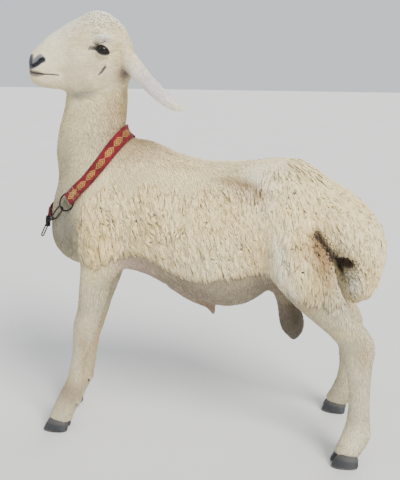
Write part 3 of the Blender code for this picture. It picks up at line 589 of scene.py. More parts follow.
class Paint(Graph):
    """A material's node tree."""

    def dress(self, inputs: dict) -> None:
        """Sets or links the shader's inputs."""
        self.feed(self.tree.nodes["Principled BSDF"], inputs)

    def times(self, a: object, b: object) -> Socket:
        """Two numbers multiplied."""
        return self.maths("MULTIPLY", a, b)

    def plus(self, a: object, b: object, **settings: object) -> Socket:
        """Two numbers added."""
        return self.maths("ADD", a, b, **settings)

    def minus(self, a: object, b: object) -> Socket:
        """The second number taken from the first."""
        return self.maths("SUBTRACT", a, b)

    def over(self, a: object, b: object) -> Socket:
        """The first number divided by the second."""
        return self.maths("DIVIDE", a, b)

    def absolute(self, a: object) -> Socket:
        """A number without its sign."""
        return self.maths("ABSOLUTE", a)

    def shaded(self, colour: object, shade: object) -> Socket:
        """A colour multiplied by a grey."""
        grey = self.add("ShaderNodeCombineColor", {0: shade, 1: shade, 2: shade})
        return self.mix(1.0, colour, grey.outputs[0], "MULTIPLY")

    def mottled(self, value: object, low: float, high: float, tone: Colour, dark: float,
                light: float) -> Socket:
        """A tone that runs from dark, where the value is low, to light, where it is high."""
        return self.mix(self.scaled(value, low, high), tuple(dark * v for v in tone),
                        tuple(light * v for v in tone))

    def scaled(self, value: object, from_low: float, from_high: float, to_low: float = 0.0,
               to_high: float = 1.0, kind: str = "SMOOTHSTEP") -> Socket:
        """A number moved softly from one range to another.

        Args:
            value: the number.
            from_low: the range's start.
            from_high: its end.
            to_low: what its start becomes.
            to_high: what its end becomes.
            kind: how it moves between them.

        Returns:
            The new number.
        """
        return self.add("ShaderNodeMapRange", {
            "Value": value, "From Min": from_low, "From Max": from_high, "To Min": to_low,
            "To Max": to_high}, interpolation_type=kind).outputs[0]

    def mix(self, share: object, a: object, b: object, blend: str = "MIX") -> Socket:
        """Two colours mixed.

        Args:
            share: how much of the second.
            a: the first colour.
            b: the second.
            blend: how they are mixed.

        Returns:
            The colour.
        """
        colours = [(*v, 1.0) if isinstance(v, tuple) and len(v) == 3 else v for v in (a, b)]
        return self.add("ShaderNodeMix", {0: share, 6: colours[0], 7: colours[1]},
                        data_type="RGBA", blend_type=blend).outputs[2]

    def value(self, name: str, kind: str = "Fac") -> Socket:
        """A number, Color or Vector stored on the mesh."""
        return self.add("ShaderNodeAttribute", attribute_name=name).outputs[kind]

    def places(self, scale: Sequence[float] = (1, 1, 1), turn: float = 0.0) -> Socket:
        """Object coordinates, turned about Z and then stretched.

        Args:
            scale: the stretch each way.
            turn: the turn, in radians.

        Returns:
            The places.
        """
        source = self.add("ShaderNodeTexCoord").outputs["Object"]
        if turn:
            source = self.add("ShaderNodeMapping",
                              {"Vector": source, "Rotation": (0.0, 0.0, turn)}).outputs[0]
        return self.add("ShaderNodeMapping",
                        {"Vector": source, "Scale": tuple(map(float, scale))}).outputs[0]

    def noise(self, where: object, scale: float, detail: float = 2.0,
              roughness: float = 0.5) -> Socket:
        """Soft noise from 0 to 1.

        Args:
            where: the places to read.
            scale: how many lumps to a metre.
            detail: how many finer layers it has.
            roughness: how strong they are.

        Returns:
            The number.
        """
        return self.add("ShaderNodeTexNoise", {"Vector": where, "Scale": scale, "Detail": detail,
                                               "Roughness": roughness}).outputs[0]

    def bump(self, height: object, depth: float, under: object = None) -> Socket:
        """A normal bent by a height in metres.

        Args:
            height: the height, from 0 to 1.
            depth: how deep 1 is.
            under: a normal to bend further.

        Returns:
            The normal.
        """
        inputs = {"Height": height, "Distance": depth, "Strength": 1.0}
        if under is not None:
            inputs["Normal"] = under
        return self.add("ShaderNodeBump", inputs).outputs[0]


def new_material(name: str) -> tuple[Material, Paint]:
    """A material and its node tree.

    Args:
        name: what to call it.

    Returns:
        Both.
    """
    material = bpy.data.materials.new(name)
    material.use_nodes = True
    return material, Paint(material.node_tree)


# ---------------------------------------------------------------- the head

@dataclass
class HeadFrame:
    """The head's own frame, midway between the eyes: +X to the nose, +Y to the left, +Z up."""

    eyes: dict[int, Array] = field(init=False)
    origin: Array = field(init=False)
    axes: Array = field(init=False)

    def __post_init__(self) -> None:
        """Finds the frame from the two eyes."""
        self.eyes = {side: np.mean([np.array(c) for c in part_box(f"eye_{name}")], axis=0)
                     for side, name in SIDES.items()}
        self.origin = (self.eyes[LEFT] + self.eyes[RIGHT]) / 2
        left = unit(self.eyes[LEFT] - self.eyes[RIGHT])
        up = np.array((0.0, 0.0, 1.0))
        self.axes = np.array((np.cross(left, up), left, up))

    def inward(self, points: Array) -> Array:
        """Places of the scene in the head's frame."""
        return (points - self.origin) @ self.axes.T

    def outward(self, points: Array) -> Array:
        """Places of the head's frame in the scene."""
        return np.asarray(points, float) @ self.axes + self.origin

    def turned(self, ways: Array) -> Array:
        """Directions of the head's frame in the scene."""
        return np.asarray(ways, float) @ self.axes


HEAD = HeadFrame()
HEAD_TURN = -math.atan2(HEAD.axes[0][1], HEAD.axes[0][0])


@dataclass(frozen=True)
class Crease:
    """A groove or ridge on both sides of the head, drawn in profile.

    The line's points are x, z in the head's frame and are laid on the skin. Half widths and
    depths run from its start to its end, and a depth below zero is a groove.
    """

    line: tuple
    widths: tuple[float, float]
    depths: tuple[float, float]


@dataclass(frozen=True)
class Mound:
    """A soft form on both sides of the head: its middle, its radius and its push."""

    middle: Place
    radius: float
    push: Place


MOUNDS = (
    Mound((0.15, 0.034, -0.012), 0.016, (0.0, 0.0026, 0.0016)),  # wing of the nostril
    Mound((0.158, 0.032, -0.046), 0.013, (0.0, 0.002, 0.0)),  # upper lip
    Mound((0.16, 0.028, -0.07), 0.016, (0.0, 0.0018, -0.0006)),  # lower lip
    Mound((0.176, 0.01, -0.03), 0.01, (0.0015, 0.0, 0.0)),  # pad between the nostrils
    Mound((0.105, 0.04, -0.052), 0.02, (0.0, -0.0028, 0.0)),  # behind the lips
    Mound((0.06, 0.05, -0.03), 0.026, (0.0, 0.0016, 0.0)),  # cheek bone
    Mound((0.03, 0.052, -0.078), 0.034, (0.0, 0.003, 0.0)),  # jaw muscle
    Mound((0.085, 0.04, 0.01), 0.03, (0.0, -0.0022, 0.0)),  # side of the nose
    Mound((0.004, 0.058, 0.034), 0.018, (0.0, 0.0036, 0.0014)),  # brow
    Mound((-0.03, 0.056, 0.004), 0.018, (0.0, -0.0028, 0.0)),  # temple
    Mound((0.04, 0.054, 0.004), 0.014, (0.0, -0.0022, 0.0)),  # before the eye
)

NOSTRIL = ((0.1765, -0.037), (0.169, -0.035), (0.16, -0.03), (0.153, -0.0245),
           (0.1462, -0.0215))
MOUTH = ((0.18, -0.05), (0.172, -0.0535), (0.15, -0.056), (0.13, -0.057),
         (0.118, -0.058), (0.111, -0.0588))
TEAR_LINE = ((0.018, 0.0165), (0.026, 0.0142), (0.0316, 0.01), (0.0362, 0.001))
SCRATCH = ((-0.003, -0.0385), (0.002, -0.044), (0.006, -0.049), (0.014, -0.0575))

CREASES = (
    Crease(NOSTRIL, (0.0044, 0.004), (-0.008, -0.007)),
    Crease(MOUTH, (0.0026, 0.0013), (-0.004, -0.0016)),
    Crease(TEAR_LINE, (0.0022, 0.0011), (-0.0022, -0.0008)),
    Crease(((0.027, 0.017), (0.02, 0.0255), (0.006, 0.03), (-0.008, 0.027), (-0.018, 0.016)),
           (0.003, 0.0024), (-0.0026, -0.002)),  # over the upper lid
    Crease(((0.026, 0.03), (0.014, 0.04), (-0.002, 0.044), (-0.014, 0.036)),
           (0.0022, 0.0016), (-0.0012, -0.0008)),  # wrinkle over the brow
    Crease(((0.022, 0.038), (0.008, 0.048), (-0.008, 0.051)), (0.002, 0.0016),
           (-0.0009, -0.0006)),
    Crease(((0.022, -0.016), (0.008, -0.0205), (-0.01, -0.019)), (0.0022, 0.0018),
           (-0.001, -0.0006)),  # under the eye
    Crease(((0.104, -0.066), (0.098, -0.074), (0.095, -0.084)), (0.003, 0.0024),
           (-0.0012, -0.0006)),  # behind the mouth
    Crease(((0.058, -0.105), (0.03, -0.1), (0.004, -0.093), (-0.02, -0.078)),
           (0.005, 0.005), (-0.0026, -0.0018)),  # under the jaw
    Crease(((-0.04, -0.004), (-0.0425, -0.022), (-0.043, -0.042), (-0.04, -0.062)),
           (0.003, 0.0034), (-0.002, -0.0034)),  # before the ear's root
)


class Profile:
    """Lays lines drawn in profile on a side of the head."""

    def __init__(self, tree: BVHTree) -> None:
        """Starts on the surface that takes the lines."""
        self.tree = tree

    def laid(self, line: Sequence, side: int, count: int = 24) -> Array:
        """A line on the skin.

        Args:
            line: x, z in the head's frame.
            side: which side of the head.
            count: how many points to give.

        Returns:
            Its points in the scene.
        """
        found = []
        for x, z in resampled(through([(x, 0.0, z) for x, z in line], 6), count)[:, (0, 2)]:
            way = HEAD.turned((0.0, 1.0 * side, 0.0))
            start = HEAD.outward((x, -0.12 * side, z))
            hit = self.tree.ray_cast(Vector(start), Vector(way), 0.2)[0]
            found.append(np.array(hit) if hit is not None else HEAD.outward((x, 0.0, z)))
        return np.array(found)


@dataclass
class Lids:
    """The lids over an eyeball, and the slanted slit between them, as lengths on the ball."""

    radius: float = 0.0155
    half_slit: float = 0.02
    upper: float = 0.0094
    lower: float = 0.0084
    slant: float = math.radians(26)
    thickness: float = 0.0021
    blunt: float = 2.2  # how blunt the slit's corners are
    reach: float = 0.017  # how far from the slit the lids run into the face
    near: float = 0.034  # how far from an eyeball's middle they reach
    almond_middle: tuple[float, float] = (0.0054, 0.0022)
    almond_slant: float = math.radians(23)
    almond_reach: float = 0.0212
    almond_upper: float = 0.0106
    almond_lower: float = 0.0096
    almond_blunt: float = 1.9
    look: Place = (0.24, 0.96, 0.1)

    def axes(self, side: int) -> tuple[Array, Array, Array]:
        """The ways out of the eye, forward along the slit and up across it.

        Args:
            side: which eye.

        Returns:
            The three ways, in the scene.
        """
        mirror = np.array((1.0, -side, 1.0))
        out = unit(np.array(self.look))
        ahead = np.array((math.cos(self.slant), 0.0, math.sin(self.slant)))
        ahead = unit(ahead - out * (ahead @ out))
        rise = unit(np.array((-math.sin(self.slant), 0.0, math.cos(self.slant))))
        rise = unit(rise - out * (rise @ out) - ahead * (rise @ ahead))
        return tuple(HEAD.turned(way * mirror) for way in (out, ahead, rise))

    def slit(self, along: Array, above: Array) -> Array:
        """How far outside the slit a place lies, from its lengths along and across the ball."""
        return self.outside_almond(along, above, self.half_slit, self.upper, self.lower,
                                   self.blunt)

    @staticmethod
    def outside_almond(along: Array, above: Array, reach: float, upper: float, lower: float,
                       power: float) -> Array:
        """How far outside an almond places lie.

        Args:
            along: their lengths along it, from its middle.
            above: their heights over its long axis.
            reach: half its length.
            upper: how high its upper edge rises.
            lower: how deep its lower edge sinks.
            power: how blunt its corners are.

        Returns:
            The distances, below zero inside it.
        """
        half = np.where(above > 0, upper, lower)
        share = np.clip(np.abs(along) / reach, 0, 1)
        edge = half * (1 - share ** power)
        slope = half * power * share ** (power - 1) / reach
        inside = (np.abs(above) - edge) / np.sqrt(1 + slope ** 2)
        beyond = np.maximum(np.abs(along) - reach, 0)
        return np.where(beyond > 0, np.hypot(beyond, above), inside)

    def outside_corners(self, local: Array) -> Array:
        """How far places lie outside the dark almond that holds the eye.

        Args:
            local: the places, in the head's frame.

        Returns:
            The distances.
        """
        turn, (x, z) = self.almond_slant, self.almond_middle
        ahead, up = local[:, 0] - x, local[:, 2] - z
        along = ahead * math.cos(turn) + up * math.sin(turn)
        above = up * math.cos(turn) - ahead * math.sin(turn)
        away = self.outside_almond(along, above, self.almond_reach, self.almond_upper,
                                   self.almond_lower, self.almond_blunt)
        return np.where(np.abs(local[:, 1]) > 0.03, away, 1.0)

    def on_ball(self, points: Array, side: int) -> tuple[Array, Array, Array, Array]:
        """Where points lie round an eyeball.

        Args:
            points: the places, in the scene.
            side: which eye.

        Returns:
            Their directions and distances from its middle, and lengths along and above its slit.
        """
        out, ahead, rise = self.axes(side)
        away = points - HEAD.eyes[side]
        distance = np.linalg.norm(away, axis=1)
        ways = away / np.maximum(distance, 1e-9)[:, None]
        angle = np.arccos(np.clip(ways @ out, -1, 1))
        flat_x, flat_y = ways @ ahead, ways @ rise
        scale = self.radius * angle / np.maximum(np.hypot(flat_x, flat_y), 1e-9)
        return ways, distance, flat_x * scale, flat_y * scale

    def shape(self, points: Array) -> Array:
        """Draws lids over both eyeballs.

        Args:
            points: the skin's points.

        Returns:
            The points, moved.
        """
        points = points.copy()
        for side in SIDES:
            ways, distance, along, above = self.on_ball(points, side)
            near = (distance < self.near) & (np.hypot(along, above) < 0.04)
            outside = self.slit(along, above)
            margin = self.thickness * smooth(0.0, 0.0013, outside)
            level = self.radius + 0.0005 + margin - 0.0045 * smooth(0.0, -0.001, outside)
            upper = smooth(-0.002, 0.004, above)
            fold = lambda at, width: np.exp(-((outside - at) / width) ** 2)
            level += upper * (-0.0021 * fold(0.006, 0.0013) + 0.0032 * fold(0.0104, 0.0028))
            level += (1 - upper) * (-0.0009 * fold(0.0048, 0.0014) + 0.0009 * fold(0.008, 0.0022))
            weight = near * (1 - smooth(0.45 * self.reach, self.reach, outside))
            target = HEAD.eyes[side] + ways * level[:, None]
            points += weight[:, None] * (target - points)
        return points

    def rim(self, side: int, count: int = 72) -> tuple[Array, Array]:
        """The slit's edge on the ball.

        Args:
            side: which eye.
            count: how many points to give.

        Returns:
            Its points and the ways out there.
        """
        out, ahead, rise = self.axes(side)
        angles = 2 * np.pi * np.arange(count) / count
        along = self.half_slit * np.cos(angles)
        half = np.where(np.sin(angles) > 0, self.upper, self.lower)
        above = np.sign(np.sin(angles)) * half * (1 - np.abs(np.cos(angles)) ** self.blunt)
        turn = np.hypot(along, above) / self.radius
        flat = unit(along[:, None] * ahead + above[:, None] * rise)
        ways = np.cos(turn)[:, None] * out + np.sin(turn)[:, None] * flat
        return HEAD.eyes[side] + ways * self.radius, ways


LIDS = Lids()


# ----------------------------------------------------------------- the pelt

class Tone(Enum):
    """Colours of hair and hide, and of painted shade and highlight, as linear red, green and blue.
    """

    CREAM = (0.87, 0.738, 0.425)
    PALE = (0.87, 0.78, 0.535)
    # leg hair, darkened as painted shade on the legs
    OAT = (0.555, 0.5, 0.34)
    WHITE = (0.9, 0.865, 0.73)
    STRAW = (0.74, 0.56, 0.255)
    TAN = (0.47, 0.325, 0.15)
    RUST = (0.33, 0.205, 0.085)
    # painted shade on the breast, the throat and under the jaw
    ASH = (0.205, 0.198, 0.17)
    TAUPE = (0.31, 0.25, 0.17)
    PINK = (0.62, 0.46, 0.4)
    LILAC = (0.66, 0.6, 0.585)
    UMBER = (0.066, 0.049, 0.036)
    SLATE = (0.03, 0.033, 0.042)
    # painted shade in the upper lid's recess
    LID = (0.36, 0.35, 0.37)
    NOSE = (0.11, 0.118, 0.15)
    LIP = (0.125, 0.095, 0.085)
    # painted shadow under the ears
    DUSK = (0.052, 0.038, 0.026)
    # painted shade in the hollows between thigh and tail
    PIT = (0.04, 0.018, 0.007)
    ROSE = (0.27, 0.175, 0.12)

    def over(self, tint: Array, share: Array) -> Array:
        """The tint with a share of this tone laid over it."""
        return tint * (1 - share[:, None]) + np.array(self.value) * share[:, None]


@dataclass(frozen=True)
class Marking:
    """A soft patch of colour: its middle, its reach each way, its tone and its strength."""

    middle: Place
    reach: Place
    tone: Tone
    strength: float
    both_sides: bool = True


def markings(rows: Iterable[tuple]) -> tuple[Marking, ...]:
    """Markings from rows of middle, reach, tone, strength and, for one side only, False."""
    return tuple(Marking(row[:3], row[3:6], *row[6:]) for row in rows)


# X, Y and Z of the middle, the reach along each, the tone and the strength.
MARKINGS = markings((
    (-0.0305, 0, 0.775, 0.3, 0.09, 0.045, Tone.PALE, 0.7),  # back
    (0.1395, -0.1, 0.7, 0.045, 0.08, 0.075, Tone.WHITE, 0.55),  # loin: painted highlight
    (-0.2355, 0, 0.785, 0.066, 0.1, 0.064, Tone.TAN, 0.72),  # withers
    (-0.1755, -0.06, 0.765, 0.06, 0.07, 0.035, Tone.TAN, 0.3),
    (0.0745, -0.105, 0.716, 0.036, 0.05, 0.012, Tone.RUST, 0.55, False),  # streak
    (0.1115, -0.112, 0.708, 0.03, 0.05, 0.01, Tone.RUST, 0.8, False),
    (0.144, -0.118, 0.697, 0.026, 0.05, 0.011, Tone.RUST, 0.7, False),
    (0.1045, -0.13, 0.665, 0.07, 0.06, 0.035, Tone.STRAW, 0.4),
    (-0.2605, -0.15, 0.575, 0.045, 0.06, 0.07, Tone.STRAW, 0.55),  # shoulder
    (-0.1405, -0.16, 0.6, 0.04, 0.06, 0.1, Tone.STRAW, 0.3),
    (0.1495, -0.16, 0.56, 0.05, 0.06, 0.08, Tone.STRAW, 0.45),  # flank
    (0.0095, -0.16, 0.54, 0.09, 0.06, 0.04, Tone.PALE, 0.45),
    (0.2045, -0.17, 0.56, 0.03, 0.06, 0.07, Tone.WHITE, 0.55),  # front of thigh
    (0.2295, -0.15, 0.47, 0.035, 0.06, 0.05, Tone.WHITE, 0.45),
    (0.2745, -0.15, 0.45, 0.03, 0.06, 0.06, Tone.STRAW, 0.45),
    (0.2515, -0.165, 0.6, 0.03, 0.05, 0.035, Tone.STRAW, 0.55),
    (0.2855, -0.142, 0.58, 0.024, 0.04, 0.045, Tone.RUST, 0.85),  # behind thigh
    (0.3015, -0.125, 0.54, 0.019, 0.05, 0.042, Tone.RUST, 0.85),
    (0.3145, -0.11, 0.5, 0.014, 0.05, 0.032, Tone.RUST, 0.6),
    (0.3745, -0.08, 0.47, 0.028, 0.06, 0.036, Tone.WHITE, 0.85),  # tail's lower lobe
    (0.4245, -0.06, 0.5, 0.03, 0.08, 0.06, Tone.STRAW, 0.35),
    (0.4295, -0.06, 0.6, 0.04, 0.08, 0.05, Tone.PALE, 0.5),
    (0.3495, -0.105, 0.59, 0.028, 0.04, 0.045, Tone.PALE, 0.45),
    (-0.3955, 0, 0.56, 0.07, 0.11, 0.125, Tone.ASH, 0.84),  # breast: painted shade, on this row and the next
    (-0.3505, -0.115, 0.58, 0.048, 0.06, 0.12, Tone.ASH, 0.62, False),
    (-0.2805, 0, 0.8, 0.06, 0.1, 0.12, Tone.OAT, 0.45),  # neck
    (-0.3555, 0, 0.74, 0.032, 0.075, 0.13, Tone.ASH, 0.52),  # throat side: painted shade
    (-0.2305, 0, 0.88, 0.028, 0.075, 0.075, Tone.TAN, 0.42),  # nape
    (-0.2055, -0.03, 0.84, 0.028, 0.06, 0.05, Tone.TAN, 0.36),
    (-0.1405, -0.03, 0.785, 0.085, 0.09, 0.035, Tone.TAN, 0.42),
    (-0.0505, -0.07, 0.755, 0.07, 0.06, 0.03, Tone.STRAW, 0.45),
    (-0.0705, -0.06, 0.42, 0.12, 0.12, 0.062, Tone.TAUPE, 0.8),  # belly: painted shade, on this row and the next two
    (0.0695, -0.06, 0.4, 0.12, 0.13, 0.06, Tone.TAUPE, 0.85),
    (0.1645, -0.07, 0.445, 0.055, 0.1, 0.06, Tone.TAUPE, 0.95),
    (-0.1605, -0.1, 0.49, 0.06, 0.07, 0.045, Tone.PINK, 0.5),  # behind elbow
    (0.0495, -0.05, 0.368, 0.075, 0.06, 0.018, Tone.TAN, 0.45),
    (-0.1305, 0, 0.405, 0.09, 0.1, 0.025, Tone.PINK, 0.55),
    (-0.0005, 0, 0.345, 0.045, 0.05, 0.035, Tone.ROSE, 0.85),  # sheath
    (-0.3105, -0.105, 0.45, 0.03, 0.06, 0.06, Tone.PALE, 0.45),  # forearm
    (-0.3565, -0.125, 0.122, 0.04, 0.05, 0.036, Tone.TAN, 0.66),  # fetlock
    (-0.3565, -0.125, 0.12, 0.036, 0.05, 0.028, Tone.TAUPE, 0.68),
    (-0.36, 0.047, 0.102, 0.04, 0.04, 0.036, Tone.TAN, 0.6, False),
    (-0.33, 0.047, 0.2, 0.05, 0.04, 0.11, Tone.TAN, 0.6, False),  # far cannon
    (-0.3105, -0.11, 0.19, 0.014, 0.05, 0.12, Tone.TAN, 0.55),  # back of cannon
    (0.4095, -0.11, 0.29, 0.018, 0.04, 0.04, Tone.TAN, 0.45),  # hock
    (0.3595, -0.105, 0.35, 0.04, 0.05, 0.018, Tone.STRAW, 0.4),
    (0.3895, -0.09, 0.24, 0.018, 0.04, 0.06, Tone.PALE, 0.4),
    (0.3995, -0.15, 0.075, 0.03, 0.04, 0.04, Tone.PALE, 0.5),
))

HEAD_MARKINGS = markings((
    (0.1, 0, 0.05, 0.1, 0.05, 0.035, Tone.WHITE, 0.7),  # bridge of nose
    (0, 0, 0.09, 0.06, 0.06, 0.03, Tone.WHITE, 0.75),  # poll
    (0.085, 0.045, -0.02, 0.06, 0.03, 0.05, Tone.PALE, 0.6),  # cheek
    (0.05, 0.045, 0.03, 0.04, 0.02, 0.03, Tone.CREAM, 0.5),
    (-0.035, 0.05, -0.01, 0.016, 0.03, 0.045, Tone.STRAW, 0.55),  # before the ear
    (-0.04, 0.04, -0.06, 0.014, 0.03, 0.022, Tone.TAN, 0.8),  # painted shadow under the ear, on this row and the next
    (-0.05, 0.048, -0.056, 0.013, 0.03, 0.015, Tone.DUSK, 0.7),
    (0.003, 0.06, 0.0205, 0.019, 0.02, 0.0062, Tone.LID, 0.72),  # painted shade in the upper lid's recess
    (0.004, 0.06, 0.0335, 0.022, 0.02, 0.005, Tone.WHITE, 0.8),  # painted highlight on the fold over it
    (0.013, 0.058, 0.0405, 0.008, 0.02, 0.0022, Tone.TAUPE, 0.6),  # painted shade in the wrinkle
    (0.06, 0.025, -0.108, 0.034, 0.04, 0.012, Tone.ASH, 0.55),  # painted shadow under the jaw
    (0.16, 0.02, -0.09, 0.03, 0.03, 0.014, Tone.PALE, 0.5),  # chin
    (-0.12, 0.095, -0.085, 0.08, 0.06, 0.07, Tone.LILAC, 0.85),  # ear
))

# Lines down the hollow between thigh and tail, mirrored to the other side.
HOLLOWS = (
    ((0.2805, 0.129, 0.601), (0.2935, 0.125, 0.584), (0.3005, 0.119, 0.573), (0.3135, 0.109, 0.548),
     (0.3235, 0.08, 0.522), (0.3315, 0.056, 0.496)),
    ((0.3255, 0.078, 0.512), (0.3425, 0.088, 0.52), (0.3555, 0.094, 0.523)),
)


@dataclass
class Pelt:
    """What grows where: the coat's length, depth and lie, and the hide's tones.

    Heights and places along the body are in the scene's frame, and each field has one value for
    each of the skin's vertices.
    """

    points: Array
    normals: Array
    parts: Array  # the solid that each vertex belongs to, as its name
    edges: Array
    strap: BVHTree

    LOW_EDGE = ((-0.3105, 0.505), (-0.2965, 0.512), (-0.2615, 0.505), (-0.2245, 0.523),
                (-0.1855, 0.537), (-0.1435, 0.543), (-0.0925, 0.515), (-0.0555, 0.492),
                (0.0085, 0.484), (0.0705, 0.499), (0.1295, 0.505), (0.1665, 0.512),
                (0.1925, 0.49), (0.2495, 0.48), (0.2995, 0.475), (0.3495, 0.465))
    FRONT_EDGE = ((0.45, -0.2955), (0.56, -0.3005), (0.664, -0.2825), (0.714, -0.2425),
                  (0.74, -0.1705), (0.8, -0.1105))

    RIDGE, RIDGE_HEIGHT = 0.019, 0.0024  # between staples, and how far they stand out
    HOLLOW_DEPTH = 0.0075

    def is_part(self, *names: str) -> Array:
        """1 where the skin belongs to one of the named solids."""
        return np.isin(self.parts, names).astype(float)

    def starts(self, text: str) -> Array:
        """1 where the solid's name starts so."""
        return np.char.startswith(self.parts, text).astype(float)

    def blended(self, values: Array, rounds: int = 14) -> Array:
        """A field evened out over the skin.

        Args:
            values: the field.
            rounds: how often it is evened.

        Returns:
            The field.
        """
        a, b = self.edges.T
        degree = np.maximum(np.bincount(self.edges.ravel(), minlength=len(self.points)), 1)
        rows = values.reshape(len(values), -1).astype(float)
        for _ in range(rounds):
            total = np.stack([np.bincount(a, rows[b, k], len(rows))
                              + np.bincount(b, rows[a, k], len(rows))
                              for k in range(rows.shape[1])], axis=1)
            rows = 0.4 * rows + 0.6 * total / degree[:, None]
        return rows.reshape(values.shape)

    def grow(self) -> dict[str, Array]:
        """Works out every field.

        Returns:
            The fields by name.
        """
        x, y, z = self.points.T
        hx, _, hz = HEAD.inward(self.points).T
        head = self.is_part("head", "lower_jaw") * smooth(-0.085, -0.06, hx)
        ears = self.starts("ear")
        legs = np.maximum(self.starts("foreleg"), self.starts("hind_leg"))
        low = np.interp(x, *zip(*self.LOW_EDGE)) + 0.022
        front = np.interp(z, *zip(*self.FRONT_EDGE))
        soft = 0.02 + 0.05 * smooth(0.17, 0.24, x)
        flank = smooth(-soft, 0.004, z - low) * smooth(-0.02, 0.01, x - front)
        above = (0.732 + 0.05 * smooth(0.09, 0.23, x) + 0.01 * np.sin(41 * x)
                 + 0.008 * np.sin(87 * x))
        crown = 1 - smooth(-0.125, 0.005, z - above)
        trunk = np.maximum(self.is_part("trunk", "neck"), legs) * flank * crown
        inner = smooth(0.2, 0.6, -self.normals[:, 1] * np.sign(y)) * (z < 0.55)
        trunk = trunk * (1 - inner)
        tail = self.is_part("tail")
        wool = np.maximum(trunk, tail * (0.72 - 0.35 * smooth(0.5, 0.44, z)
                                         + 0.1 * smooth(0.48, 0.56, z)))
        wool = wool * (1 - head) * (1 - ears) * (1 - 0.98 * self.hollow(0.017, 0.034))
        wool = self.blended(wool, 6)
        head = np.maximum(self.blended(head, 4), 0)
        poll = head * smooth(0.044, 0.066, hz) * smooth(0.06, 0.03, hx)
        leg_low = legs * (1 - smooth(0.3, 0.46, z))
        feet = legs * (1 - smooth(0.035, 0.08, z))
        belly = self.is_part("trunk") * smooth(0.35, 0.8, -self.normals[:, 2]) * (1 - wool)
        bald = np.maximum(self.is_part("scrotum", "sheath"), 0.55 * belly)
        bald = self.blended(bald, 6)
        muzzle = head * smooth(0.085, 0.135, hx)
        length = 0.0135 - 0.0045 * leg_low - 0.0015 * self.is_part("neck") + 0.005 * feet
        length = length * (1 - head) + head * (0.0075 - 0.003 * muzzle)
        length = length * (1 - ears) + 0.008 * ears - 0.004 * self.is_part("scrotum", "sheath")
        depth = 0.0036 - 0.0012 * leg_low + 0.0006 * feet
        depth = depth * (1 - head) + head * (0.0017 - 0.0007 * muzzle)
        depth = depth * (1 - ears) + 0.0013 * ears
        depth = self.blended(depth * (1 - 0.5 * bald), 8) + 0.0016 * wool + 0.0022 * poll
        return {
            "wool": wool, "head": head, "poll": poll, "muzzle": muzzle, "bald": bald,
            "length": length, "depth": depth, "ears": ears, "legs": legs,
            # under: a band along the underside below the fleece, which takes painted shade
            "under": self.blended(self.is_part("trunk") * (1 - smooth(-0.046, -0.012, z - low))
                                  * smooth(-0.25, -0.18, x) * (1 - smooth(0.23, 0.29, x)), 4),
            "lie": self.lie(head, ears, legs), "press": self.pressed(),
            "gap": self.hollow(0.02, 0.07),
        }

    def ridges(self) -> Array:
        """The fleece's uneven staples: wavy upright ridges that come and go.

        Returns:
            How far the hide stands out at each vertex.
        """
        x, y, z = self.points.T
        run = x - 0.8 * np.abs(y)
        bend = 0.45 * np.sin(23 * z + 11 * x) + 0.22 * np.sin(57 * z - 19 * run)
        broad = np.sin(2 * np.pi * run / self.RIDGE + 2 * np.pi * bend)
        other = np.sin(2 * np.pi * run / (1.7 * self.RIDGE) - 4 * bend + 31 * z)
        more = 1 + 0.9 * np.exp(-((x + 0.14) / 0.15) ** 2 - ((z - 0.58) / 0.09) ** 2)
        return self.RIDGE_HEIGHT * more * (0.6 * broad + 0.5 * other - 0.3)

    def hollow(self, near: float, far: float) -> Array:
        """Where the hollows between thigh and tail are.

        Args:
            near: how far from their lines it is still 1.
            far: how far it is 0.

        Returns:
            1 in the hollows and 0 away from them.
        """
        mirrored = self.points.copy()
        mirrored[:, 1] = np.abs(mirrored[:, 1])
        away = [to_segments(mirrored, np.array(line))[0] for line in HOLLOWS]
        narrow = 0.013 * smooth(0.52, 0.585, mirrored[:, 2]) - 0.005
        return 1 - smooth(near, far, np.minimum(*away) + narrow)

    def pressed(self) -> Array:
        """Where the strap holds the coat flat.

        Returns:
            1 under the strap and 0 away from it.
        """
        away = np.ones(len(self.points))
        low, high = (np.array(corner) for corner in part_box("collar_strap"))
        room = 0.04
        close = ((self.points > low - room) & (self.points < high + room)).all(axis=1)
        for i in np.nonzero(close)[0]:
            found = self.strap.find_nearest(Vector(self.points[i]), room)
            if found[0] is not None:
                away[i] = found[3]
        return 1 - smooth(0.008, 0.02, away)

    def lie(self, head: Array, ears: Array, legs: Array) -> Array:
        """The way that the coat lies at each vertex, along the skin.

        Args:
            head: how much each vertex is the head's.
            ears: the same for the ears.
            legs: the same for the legs.

        Returns:
            The ways.
        """
        count = len(self.points)
        y = self.points[:, 1]
        way = np.tile((0.26, 0.0, -1.0), (count, 1))
        way[:, 0] -= 0.16 * smooth(0.1, 0.2, self.points[:, 0]) * (1 - legs) + 0.2 * legs
        swirl = 0.14 * np.sin(27 * self.points[:, 0] + 9 * self.points[:, 2])
        swirl += 0.1 * np.sin(46 * self.points[:, 0] - 21 * self.points[:, 2] + 1.3)
        way[:, 0] += swirl * (1 - head)
        _, hy, hz = HEAD.inward(self.points).T
        back = HEAD.turned(np.stack([-np.ones(count), 0.1 * np.sign(hy),
                                     np.where(hz > 0.02, 0.12, -0.22)], axis=1))
        way = way * (1 - head)[:, None] + back * head[:, None]
        side = np.where(y < HEAD.origin[1], 1.0, -1.0)
        along_ear = HEAD.turned(np.stack([-0.72 * np.ones(count), 0.4 * side,
                                          -0.6 * np.ones(count)], axis=1))
        way = way * (1 - ears)[:, None] + along_ear * ears[:, None]
        flat = way - self.normals * (way * self.normals).sum(1, keepdims=True)
        weak = np.linalg.norm(flat, axis=1) < 0.15
        flat[weak] += np.cross(self.normals[weak], (0.0, 1.0, 0.0)) * 0.3
        return unit(flat)

